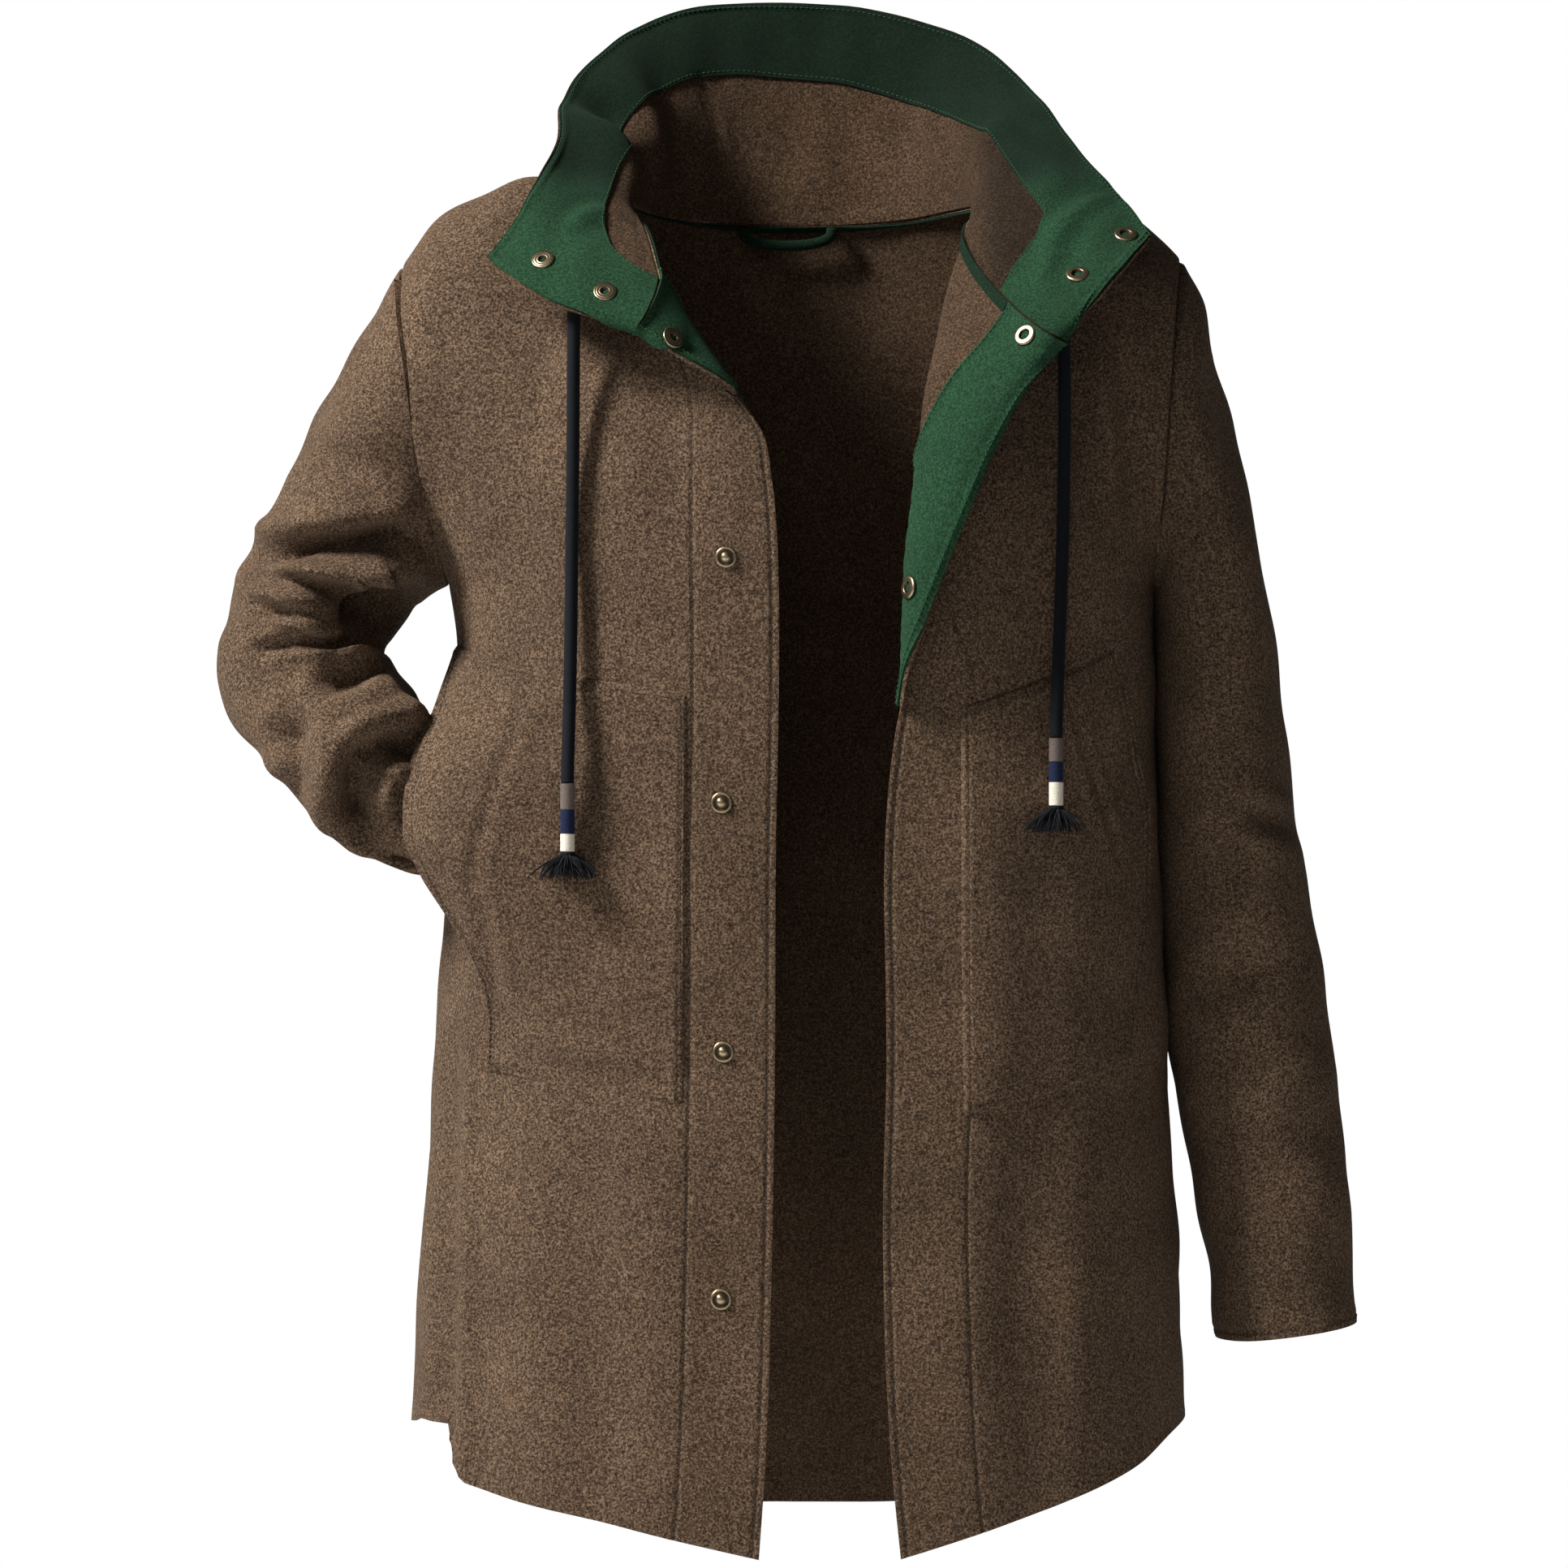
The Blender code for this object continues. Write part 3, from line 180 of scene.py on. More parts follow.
def noise(tree, place, scale, detail, roughness, distortion=0.0):
    return node(tree, "ShaderNodeTexNoise", {
        "Vector": place, "Scale": scale, "Detail": detail, "Roughness": roughness, "Distortion": distortion,
    }).outputs["Fac"]


def between(tree, value, low, high, at_low, at_high, kind="LINEAR"):
    """A value carried over from one range to another."""
    return node(tree, "ShaderNodeMapRange", {
        "Value": value, "From Min": low, "From Max": high, "To Min": at_low, "To Max": at_high,
    }, interpolation_type=kind).outputs[0]


def new_material(name, roughness=0.9, metallic=0.0, colour=(0.5, 0.5, 0.5)):
    made = bpy.data.materials.new(name)
    made.use_nodes = True
    shader = made.node_tree.nodes["Principled BSDF"]
    shader.inputs["Roughness"].default_value = roughness
    shader.inputs["Metallic"].default_value = metallic
    shader.inputs["Base Color"].default_value = (*colour, 1.0)
    return made, made.node_tree, shader


def ramp(tree, factor, stops):
    """A colour ramp over a factor; stops are (place, colour)."""
    made = tree.nodes.new("ShaderNodeValToRGB")
    tree.links.new(factor, made.inputs["Fac"])
    elements = made.color_ramp.elements
    while len(elements) < len(stops):
        elements.new(0.5)
    for element, (place, colour) in zip(elements, stops):
        element.position = place
        element.color = (*colour, 1.0)
    return made.outputs["Color"]


def bumpy(tree, shader, height, strength, depth):
    bump = node(tree, "ShaderNodeBump", {"Height": height, "Strength": strength, "Distance": depth})
    tree.links.new(bump.outputs["Normal"], shader.inputs["Normal"])


def matt_wool(shader, sheen, sheen_roughness):
    shader.inputs["Sheen Weight"].default_value = sheen
    shader.inputs["Sheen Roughness"].default_value = sheen_roughness
    shader.inputs["Specular IOR Level"].default_value = 0.15


def thread_material(name, colour, scale=1800.0, sheen=0.03):
    """Yarn: matt, with fine fibres that catch a little light."""
    made, tree, shader = new_material(name, roughness=0.82)
    fibres = noise(tree, node(tree, "ShaderNodeTexCoord").outputs["Object"], scale, 3.0, 0.6)
    dark = tuple(0.4 * value for value in colour)
    light = tuple(min(1.7 * value + 0.004, 1.0) for value in colour)
    tint = ramp(tree, fibres, ((0.32, dark), (0.5, colour), (0.72, light)))
    tree.links.new(tint, shader.inputs["Base Color"])
    bumpy(tree, shader, fibres, strength=0.5, depth=0.0003)
    matt_wool(shader, sheen, 0.5)
    return made


def braid(name, route, finish):
    """The plaited tube along a route."""
    line = spaced(route, int(length_of(route) / BRAID_RING_STEP))

    def radii(number, angles):
        turn = 2 * math.pi * number * BRAID_RING_STEP / BRAID_PITCH
        ribs = np.maximum(np.sin(BRAID_CARRIERS * (angles + turn)), np.sin(BRAID_CARRIERS * (angles - turn)))
        return CORD_DIAMETER / 2 - BRAID_RELIEF * (1 - ribs) / 2

    rings = tube_rings(line, radii, BRAID_SIDES)
    return add_mesh(name, rings.reshape(-1, 3), ring_faces(len(rings), BRAID_SIDES), [finish])


cord_finish = thread_material("cord_braid", CORD_COLOUR)
cords = {}
for side_name, route in (("right", CORD_RIGHT), ("left", CORD_LEFT)):
    cord = braid("drawstring_" + side_name, np.array(route), cord_finish)
    fitted(cord, "cord_" + side_name)
    cords[side_name] = (cord, route)


# Wraps and tassels
# Each drawstring's end is bound with three bands of thread, grey brown, navy and cream, wound tight.
# Below them its strands are combed out into a short full tassel.
WRAP_RADIUS = 0.0044
WRAP_GAP = 0.0003
THREAD_PITCH = 0.00085
THREAD_RELIEF = 0.00022
WRAP_END = 0.00035
WRAP_SIDES = 32
RINGS_A_TURN = 4
WRAPS = (("grey", (0.125, 0.098, 0.086)), ("navy", (0.0075, 0.013, 0.042)), ("cream", (0.74, 0.67, 0.55)))
WRAP_HEIGHTS = {"right": (0.0155, 0.0144, 0.0107), "left": (0.0142, 0.0122, 0.0141)}
TASSEL_STRANDS = 125
STRAND_RADIUS = 0.00048
STRAND_LENGTH = 0.0165
STRAND_SIDES = 4
STRAND_RINGS = 7
TASSEL_SPREAD = 1.45
TASSEL_HEAD = 0.0022
# the tassel's head: how far down and how wide at each ring, with small ribs of the tying thread
HEAD_RINGS = ((0.0, 0.0038), (0.0006, 0.0043), (0.0014, 0.0045), (TASSEL_HEAD, 0.0043))
HEAD_SIDES = 48
HEAD_RIB = 0.00015
ROOT_RADIUS = 0.0040
DOWN = np.array([0.0, 0.0, -1.0])


def wound(name, top, height, finish):
    """A band of thread wound round the cord: one shallow groove for each turn."""
    turns = max(int(round(height / THREAD_PITCH)), 3)
    drops = np.linspace(0, height, turns * RINGS_A_TURN + 1)

    def radii(number, angles):
        wave = np.abs(np.sin(math.pi * number / RINGS_A_TURN + angles / 2))
        end = WRAP_END if number in (0, len(drops) - 1) else 0.0
        return WRAP_RADIUS - THREAD_RELIEF * (1 - wave) - end

    rings = tube_rings(top + np.outer(drops, DOWN), radii, WRAP_SIDES)
    return add_mesh(name, rings.reshape(-1, 3), ring_faces(len(rings), WRAP_SIDES), [finish])


def tassel(name, top, finish, seed):
    """A head tied under the last wrap, and the strands combed out of it."""
    random = np.random.default_rng(seed)
    drops, widths = np.array(HEAD_RINGS).T
    head = tube_rings(
        top + np.outer(drops, DOWN), lambda number, angles: widths[number] + HEAD_RIB * np.sin(12 * angles),
        HEAD_SIDES,
    )
    points = [head.reshape(-1, 3)]
    faces = ring_faces(len(head), HEAD_SIDES)
    count = len(points[0])
    share = np.linspace(0, 1, STRAND_RINGS)[:, None]
    for _ in range(TASSEL_STRANDS):
        turn = random.uniform(0, 2 * math.pi)
        out = math.sqrt(random.uniform(0.0, 1.0))
        root = top + np.array([
            ROOT_RADIUS * out * math.cos(turn), ROOT_RADIUS * out * math.sin(turn), 0.0003 - TASSEL_HEAD,
        ])
        swing = turn + random.normal(0, 0.35)
        lean = TASSEL_SPREAD * out * random.uniform(0.65, 1.15)
        # strands lie flatter against the coat behind than they stand out in front
        aside = math.sin(swing) * (0.35 if math.sin(swing) > 0 else 0.75)
        reach = np.array([math.cos(swing), aside, 0.0]) * lean
        length = STRAND_LENGTH * random.uniform(0.72, 1.05)
        kink = random.normal(0, 0.0006, size=(1, 3)) * np.sin(share * random.uniform(3, 7))
        line = root + length * (reach * share * (1.25 - 0.45 * share) + DOWN * share * 0.86) + kink
        taper = STRAND_RADIUS * random.uniform(0.8, 1.25)
        rings = tube_rings(
            line, lambda number, angles: taper * (1 - 0.45 * number / STRAND_RINGS) + 0 * angles,
            STRAND_SIDES,
        )
        faces += ring_faces(STRAND_RINGS, STRAND_SIDES, first=count)
        points.append(rings.reshape(-1, 3))
        count += STRAND_RINGS * STRAND_SIDES
    return add_mesh(name, np.vstack(points), faces, [finish])


wrap_finishes = {
    colour_name: thread_material("thread_" + colour_name, colour, scale=2600.0)
    for colour_name, colour in WRAPS
}
for side_name, (cord, route) in cords.items():
    top = np.array(route[-1]) + WRAP_GAP * DOWN
    for (colour_name, _), height in zip(WRAPS, WRAP_HEIGHTS[side_name]):
        band_name = f"binding_{colour_name}_{side_name}"
        band = wound(band_name, top, height - WRAP_GAP / 2, wrap_finishes[colour_name])
        fitted(band, f"wrap_{colour_name}_{side_name}")
        top = top + height * DOWN
    end = tassel("strands_" + side_name, top, cord_finish, seed=5 if side_name == "right" else 8)
    fitted(end, "tassel_" + side_name)


# Back and fronts
# Body of brown felted wool, cut as one back and two fronts that meet at side and shoulder seams.
# The wall is 2 mm of one layer; its edges at the front are turned over the green facing and topstitched.
WALL = 0.0020
ARMPIT_Z = -0.220
ARMHOLE_HALF_DEPTH = 0.072
BODY_POWER = 2 / 2.5
FACING_WIDTH = 0.054
RIGHT = -1
LEFT = 1
FRONT = -1
BACK = 1
SHOULDER_ROUNDING = 1.1
ARMHOLE_FADE = 2.2
EDGE_FADE = 2.5
ROW_SAMPLES = 97
LOWER_ROWS = 124
UPPER_ROWS = 52
SHOULDER_COLUMNS = 36
FRONT_COLUMNS = 30
BACK_COLUMNS = 34
# distances of a front's columns from its edge: close together round the two lines of stitching
FACING_STEPS = (
    0.054, 0.053, 0.0515, 0.05, 0.047, 0.043, 0.039, 0.035, 0.031, 0.027, 0.023, 0.019, 0.0155, 0.012, 0.009,
    0.007, 0.0055, 0.0043, 0.0031, 0.0018, 0.0008, 0.0,
)
EDGE_STITCH = 0.0043
FACING_STITCH = 0.0515

# height, half width on the right, half width on the left, depth in front, depth behind
BODY_SECTIONS = (
    (-0.82, 0.242, 0.246, 0.152, 0.15),
    (-0.715, 0.2373, 0.241, 0.148, 0.146),
    (-0.614, 0.2297, 0.236, 0.143, 0.138),
    (-0.462, 0.2206, 0.2275, 0.135, 0.124),
    (-0.36, 0.214, 0.2225, 0.131, 0.114),
    (-0.26, 0.21, 0.221, 0.129, 0.112),
    (-0.22, 0.215, 0.22, 0.128, 0.115),
)

# share of the half width, from the centre out to the side, and the height of the hem there
HEM_FRONT_RIGHT = (
    (0.0, -0.809), (0.26, -0.795), (0.46, -0.784), (0.76, -0.769), (0.86, -0.761), (0.94, -0.744),
    (1.0, -0.7355),
)
HEM_FRONT_LEFT = (
    (0.2, -0.808), (0.44, -0.79), (0.66, -0.773), (0.86, -0.754), (0.95, -0.74), (1.0, -0.7345),
)
HEM_BACK = (
    (0.0, -0.811), (0.3, -0.81), (0.6, -0.799), (0.85, -0.768), (0.94, -0.747), (1.0, -0.735),
)

# height, sideways place of the free front edge or, above it, of the line where the front turns out
FRONT_LINE_RIGHT = (
    (-0.81, -0.022), (-0.75, -0.018), (-0.65, -0.0147), (-0.5, -0.0123), (-0.4, -0.012),
    (-0.26, -0.0099), (-0.192, -0.0114), (-0.158, -0.0148), (-0.134, -0.0196), (-0.109, -0.0365),
    (-0.075, -0.061), (-0.042, -0.084),
)
FRONT_LINE_LEFT = (
    (-0.81, 0.0627), (-0.774, 0.059), (-0.722, 0.0552), (-0.602, 0.052), (-0.506, 0.0544),
    (-0.409, 0.053), (-0.312, 0.06), (-0.283, 0.067), (-0.215, 0.0725), (-0.166, 0.0774),
    (-0.128, 0.0808), (-0.08, 0.0875), (-0.038, 0.096), (-0.007, 0.107),
)

# height of the turning line, the edge of the turned-out cloth (x, y, z), and how round the turn is
TURN_OUT_RIGHT = (
    (-0.109, -0.0365, -0.135, -0.109, 0.0), (-0.09, -0.052, -0.14, -0.1, 0.006),
    (-0.075, -0.069, -0.142, -0.091, 0.009), (-0.042, -0.095, -0.137, -0.072, 0.012),
)
TURN_OUT_LEFT = (
    (-0.3, 0.063, -0.132, -0.3, 0.0), (-0.279, 0.0672, -0.138, -0.279, 0.004),
    (-0.25, 0.076, -0.144, -0.2525, 0.009),
    (-0.215, 0.0875, -0.149, -0.222, 0.012), (-0.166, 0.104, -0.151, -0.18, 0.016),
    (-0.128, 0.117, -0.151, -0.147, 0.02), (-0.08, 0.134, -0.15, -0.112, 0.027),
    (-0.038, 0.148, -0.147, -0.092, 0.034), (-0.007, 0.158, -0.143, -0.078, 0.04),
)

# share of the row from shoulder tip to front line, and the upper seam there (x, y, z)
TOP_FRONT_RIGHT = (
    (0.0, -0.244, 0.0, -0.022), (0.09, -0.222, 0.003, 0.0075), (0.2, -0.192, 0.006, 0.0236),
    (0.31, -0.162, 0.008, 0.035), (0.4, -0.133, 0.01, 0.033), (0.5, -0.107, 0.012, 0.023),
    (0.66, -0.101, -0.035, 0.008), (0.84, -0.092, -0.078, -0.014), (1.0, -0.084, -0.116, -0.042),
)
TOP_FRONT_LEFT = (
    (0.0, 0.24, 0.0, -0.0185), (0.07, 0.227, 0.002, -0.005), (0.16, 0.205, 0.004, 0.012),
    (0.31, 0.162, 0.008, 0.029), (0.4, 0.137, 0.01, 0.027), (0.5, 0.113, 0.012, 0.019),
    (0.75, 0.111, -0.015, 0.008), (1.0, 0.107, -0.04, -0.007),
)
# rows of the tables above that belong to the shoulder seam, and the height over which a front starts to turn
SHOULDER_ROWS = 6
TURN_RUN = 0.055
TOP_BACK_RIGHT = TOP_FRONT_RIGHT[:SHOULDER_ROWS] + (
    (0.64, -0.094, 0.062, 0.022), (0.76, -0.066, 0.088, 0.019), (0.88, -0.03, 0.1, 0.017),
    (1.0, 0.0045, 0.102, 0.016),
)
TOP_BACK_LEFT = TOP_FRONT_LEFT[:SHOULDER_ROWS] + (
    (0.64, 0.101, 0.062, 0.022), (0.76, 0.074, 0.088, 0.019), (0.88, 0.04, 0.1, 0.017),
    (1.0, 0.0045, 0.102, 0.016),
)

# height of the armhole seam and its sideways place
ARMHOLE_RIGHT = (
    (-0.22, -0.215), (-0.18, -0.225), (-0.14, -0.233), (-0.099, -0.2375), (-0.058, -0.243),
    (-0.022, -0.244),
)
ARMHOLE_LEFT = (
    (-0.22, 0.22), (-0.17, 0.224), (-0.11, 0.228), (-0.06, 0.233), (-0.0185, 0.24),
)

# sideways place, top, bottom, half width and rise of each soft upright fold of the fronts
FOLDS = (
    (-0.205, -0.5, -0.82, 0.01, 0.005), (-0.15, -0.56, -0.82, 0.03, 0.0035),
    (-0.09, -0.42, -0.82, 0.03, 0.003), (0.118, -0.25, -0.82, 0.024, 0.0035),
    (0.175, -0.1, -0.82, 0.022, 0.004), (0.208, -0.42, -0.82, 0.013, 0.003),
)


def read_table(table, key):
    """The other columns of a table at a value of its first one, on a smooth curve through its rows."""
    rows = np.asarray(table, float)
    knots = rows[:, 0]
    values = rows[:, 1:]
    key = min(max(key, knots[0]), knots[-1])
    steps = np.diff(knots)
    slopes = np.diff(values, axis=0) / steps[:, None]
    tangents = np.vstack([slopes[:1], 0.5 * (slopes[:-1] + slopes[1:]), slopes[-1:]])
    tangents[1:-1][slopes[:-1] * slopes[1:] <= 0] = 0
    i = min(int(np.searchsorted(knots, key, side="right")) - 1, len(steps) - 1)
    t = (key - knots[i]) / steps[i]
    start = values[i] * (1 - t) ** 2 * (1 + 2 * t) + tangents[i] * steps[i] * t * (1 - t) ** 2
    end = values[i + 1] * t ** 2 * (3 - 2 * t) - tangents[i + 1] * steps[i] * t ** 2 * (1 - t)
    return start + end


def body_section(side, face, z):
    """Half width and depth of the body at a height."""
    half_right, half_left, front, back = read_table(BODY_SECTIONS, z)
    return (half_left if side == LEFT else half_right), (front if face == FRONT else back)


def section_point(side, face, share, z):
    """A point of the body's section: share 0 is the side seam, 1 the middle of the front or back."""
    half, depth = body_section(side, face, z)
    angle = share * math.pi / 2
    x = side * half * max(math.cos(angle), 0) ** BODY_POWER
    y = face * depth * max(math.sin(angle), 0) ** BODY_POWER
    return np.array([x, y, z])


def share_at(side, x, z):
    """How far round the section a sideways place lies."""
    half, _ = body_section(side, FRONT, z)
    ratio = min(max(side * x / half, -0.2), 1.0)
    if ratio < 0:
        return 1 + math.asin((-ratio) ** (1 / BODY_POWER)) * 2 / math.pi
    return math.acos(ratio ** (1 / BODY_POWER)) * 2 / math.pi


def wide_point(side, face, share, z):
    """Like section_point, but it may run a little way past the middle."""
    if share <= 1:
        return section_point(side, face, share, z)
    point = section_point(side, face, 2 - share, z)
    point[0] = -point[0]
    return point


def fold_rise(point):
    """How far the soft upright folds lift a point of the fronts."""
    rise = 0.0
    for x, top, bottom, half, height in FOLDS:
        down = min(max((top - point[2]) / 0.18, 0.0), 1.0)
        near = math.exp(-(((point[0] - x) / half) ** 2))
        rise += height * near * down * down * (3 - 2 * down)
    return rise


def lower_row(side, face, level):
    """Body row between hem (level 0) and armpit (level 1), side seam to front line or middle back."""
    if face == BACK:
        hem = HEM_BACK
        last_share = 1.0
    else:
        hem = HEM_FRONT_RIGHT if side == RIGHT else HEM_FRONT_LEFT
        line = FRONT_LINE_RIGHT if side == RIGHT else FRONT_LINE_LEFT
        edge_z = hem[0][1] + (ARMPIT_Z - hem[0][1]) * level
        last_share = share_at(side, read_table(line, edge_z)[0], edge_z)
    points = []
    for share in np.linspace(0, last_share, ROW_SAMPLES):
        across = abs(math.cos(share * math.pi / 2)) ** BODY_POWER
        hem_z = read_table(hem, across)[0]
        z = hem_z + (ARMPIT_Z - hem_z) * level
        point = wide_point(side, face, share, z)
        if face == FRONT:
            point[1] -= fold_rise(point) * math.sin(min(share, 1) * math.pi / 2)
        points.append(point)
    return np.array(points)


def upper_row(side, face, level):
    """Body row between armpit (level 0) and shoulder and neck seam (level 1)."""
    if face == FRONT:
        top = TOP_FRONT_RIGHT if side == RIGHT else TOP_FRONT_LEFT
    else:
        top = TOP_BACK_RIGHT if side == RIGHT else TOP_BACK_LEFT
    armhole = ARMHOLE_RIGHT if side == RIGHT else ARMHOLE_LEFT
    bottom = lower_row(side, face, 1.0)
    across = 1 - math.cos(level * math.pi / 2) ** SHOULDER_ROUNDING
    rising = math.sin(level * math.pi / 2) ** SHOULDER_ROUNDING
    mix = np.array([across, across, rising])
    points = []
    for share, low in zip(np.linspace(0, 1, len(bottom)), bottom):
        high = read_table(top[:SHOULDER_ROWS] if share <= 0.5 else top[SHOULDER_ROWS - 1:], share)
        points.append(low + (high - low) * mix)
    points = np.array(points)
    shares = np.linspace(0, 1, len(points))[:, None]
    tip = np.array(top[0][1:])
    seam_z = ARMPIT_Z + (tip[2] - ARMPIT_Z) * (1 - math.cos(level * math.pi)) / 2
    seam = np.array([
        read_table(armhole, seam_z)[0], face * ARMHOLE_HALF_DEPTH * math.sin(level * math.pi), seam_z,
    ])
    points += (seam - points[0]) * (1 - shares) ** ARMHOLE_FADE
    if face == FRONT:
        line = FRONT_LINE_RIGHT if side == RIGHT else FRONT_LINE_LEFT
        turn_z = ARMPIT_Z + (top[-1][3] - ARMPIT_Z) * level
        ease = math.sin(level * math.pi / 2)
        turn_y = bottom[-1][1] + (top[-1][2] - bottom[-1][1]) * (1 - math.cos(level * math.pi / 2)) ** 1.3
        turn = np.array([read_table(line, turn_z)[0], turn_y - 0.004 * ease * (1 - level), turn_z])
        points += (turn - points[-1]) * shares ** EDGE_FADE
    return points


def turned_out(side, row):
    """The stretch of a front row past the line where it turns out; nothing where it does not turn."""
    table = TURN_OUT_RIGHT if side == RIGHT else TURN_OUT_LEFT
    start = row[-1]
    if start[2] <= table[0][0] + 0.001:
        return row[-1:]
    x, y, z, round_by = read_table(table, start[2])
    end = np.array([x, y, z])
    leaving = unit(row[-1] - row[-7])
    turn = min((start[2] - table[0][0]) / TURN_RUN, 1.0) * math.pi
    forward = np.array([0.0, -1.0, -0.3])
    arriving = unit(leaving * math.cos(turn) + forward * math.sin(turn) + np.array([0, 0, -0.2]))
    first = start + leaving * round_by
    second = end - arriving * round_by
    t = np.linspace(0, 1, 33)[:, None]
    return (
        start * (1 - t) ** 3 + 3 * first * t * (1 - t) ** 2
        + 3 * second * t ** 2 * (1 - t) + end * t ** 3
    )


def surface_normals(grid, flip, closed=False):
    """Outward directions at the points of a grid of rows and columns."""
    if closed:
        along = np.roll(grid, -1, axis=1) - np.roll(grid, 1, axis=1)
    else:
        along = np.gradient(grid, axis=1)
    normals = unit(np.cross(along, np.gradient(grid, axis=0)))
    return -normals if flip else normals


def front_row(side, level):
    """Points of a front row, close together at the side seam and round the stitching by the edge."""
    row = lower_row(side, FRONT, level) if level <= 1 else upper_row(side, FRONT, level - 1)
    middle = len(row) // 2
    outer = at_distances(row[:middle + 1], from_seam(length_of(row[:middle + 1]), SHOULDER_COLUMNS))
    rest = np.vstack([row[middle:], turned_out(side, row)[1:]])
    total = length_of(rest)
    near_facing = np.linspace(0, total - FACING_WIDTH, FRONT_COLUMNS + 1)[1:-1]
    facing = [total - step for step in FACING_STEPS]
    return np.vstack([outer, at_distances(rest, np.concatenate([near_facing, facing]))])


def back_row(level):
    halves = []
    for side in (RIGHT, LEFT):
        row = lower_row(side, BACK, level) if level <= 1 else upper_row(side, BACK, level - 1)
        middle = len(row) // 2
        outer = at_distances(row[:middle + 1], from_seam(length_of(row[:middle + 1]), SHOULDER_COLUMNS))
        halves.append(np.vstack([outer, spaced(row[middle:], BACK_COLUMNS + 1)[1:]]))
    return np.vstack([halves[0], halves[1][::-1][1:]])


def from_seam(total, count):
    """Distances from a seam: close together in its groove, then even."""
    return np.concatenate([[0.0, 0.0010, 0.0022, 0.0038], np.linspace(0.0062, total, count - 3)])


def distance_along(grid, axis, end):
    """How far each point of a grid lies from one of its borders."""
    if end:
        grid = np.flip(grid, axis)
    steps = np.linalg.norm(np.diff(grid, axis=axis), axis=2)
    shape = list(grid.shape[:2])
    shape[axis] = 1
    along = np.concatenate([np.zeros(shape), np.cumsum(steps, axis=axis)], axis=axis)
    return np.flip(along, axis) if end else along


def groove(distance, depth=0.0018, half=0.0018):
    """The dip of the cloth at a seam."""
    return -depth * np.exp(-((distance / half) ** 2))


def stitched(distance, at, depth=0.0008, half=0.0011):
    """The furrow that a line of stitches draws, and the slight swell beside it."""
    off = np.abs(distance - at)
    return -depth * np.exp(-((off / half) ** 2)) + 0.4 * depth * np.exp(-(((off - 2.2 * half) / half) ** 2))


def creases(places, table):
    """Soft troughs with low shoulders along short curves over flat places (x and z, or along and up)."""
    flat = places.reshape(-1, 2)
    rise = np.zeros(len(flat))
    share = np.linspace(0, 1, 25)[:, None]
    for across1, up1, across2, up2, across3, up3, half, depth in table:
        start, through, end = np.array([across1, up1]), np.array([across2, up2]), np.array([across3, up3])
        bend = 2 * through - (start + end) / 2
        curve = start * (1 - share) ** 2 + 2 * bend * share * (1 - share) + end * share ** 2
        reach = 4 * abs(half)
        near = ((flat > curve.min(axis=0) - reach) & (flat < curve.max(axis=0) + reach)).all(axis=1)
        off = np.linalg.norm(flat[near][:, None] - curve[None], axis=2)
        nearest = off.argmin(axis=1)
        away = off[np.arange(len(off)), nearest]
        strength = 0.35 + 0.65 * np.sin(np.pi * share[nearest, 0]) ** 0.6
        trough = np.exp(-((away / half) ** 2)) - 0.45 * np.exp(-(((away - 2.1 * half) / half) ** 2))
        rise[near] -= depth * strength * trough
    return rise.reshape(places.shape[:2])


def turned_to(normals, facing):
    """How much of a surface faces the front (-1) or the back (1), for creases seen from there."""
    share = np.clip((normals[..., 1] * facing + 0.05) / 0.45, 0, 1)
    return share * share * (3 - 2 * share)


def front_and_back(grid, normals, front_table, back_table):
    places = grid[..., [0, 2]]
    return (creases(places, front_table) * turned_to(normals, -1.0)
            + creases(places, back_table) * turned_to(normals, 1.0))


def uneven(points, height, size, seed):
    """Gentle unevenness of thick cloth: a few crossing long waves."""
    random = np.random.default_rng(seed)
    rise = np.zeros(points.shape[:2])
    for _ in range(9):
        direction = unit(random.normal(size=3)) * 2 * math.pi / (size * random.uniform(0.6, 1.8))
        rise += np.sin(points @ direction + random.uniform(0, 2 * math.pi))
    return rise * height / 3


def wall(name, grid, normals, finish, inside=None, lift=0.0, thick=WALL, closed=False):
    """A closed wall of cloth over a grid, its outer side lifted off the grid along the normals."""
    rows, columns = grid.shape[:2]
    count = rows * columns
    points = np.concatenate([grid + normals * lift, grid + normals * (lift - thick)]).reshape(-1, 3)
    faces = []
    border = {}
    for row in range(rows - 1):
        low, high = row * columns, (row + 1) * columns
        for column in range(columns if closed else columns - 1):
            after = (column + 1) % columns
            corners = (low + column, low + after, high + after, high + column)
            faces.append(corners)
            faces.append(tuple(count + corner for corner in reversed(corners)))
            for start, end in zip(corners, corners[1:] + corners[:1]):
                if (end, start) in border:
                    del border[(end, start)]
                else:
                    border[(start, end)] = True
    sides = [0, 1] * (len(faces) // 2) + [0] * len(border)
    faces += [(end, start, count + start, count + end) for start, end in border]
    used, index = np.unique(np.array(faces), return_inverse=True)
    points = points[used]
    faces = index.reshape(-1, 4)
    quads = points[faces]
    facing = np.cross(quads[:, 2] - quads[:, 0], quads[:, 3] - quads[:, 1])
    if (facing * quads.mean(axis=1)).sum() < 0:
        faces = faces[:, ::-1]
    made = add_mesh(name, points, faces.tolist(), [finish, inside or finish], face_finish=sides)
    made.data.set_sharp_from_angle(angle=math.radians(55))
    return made


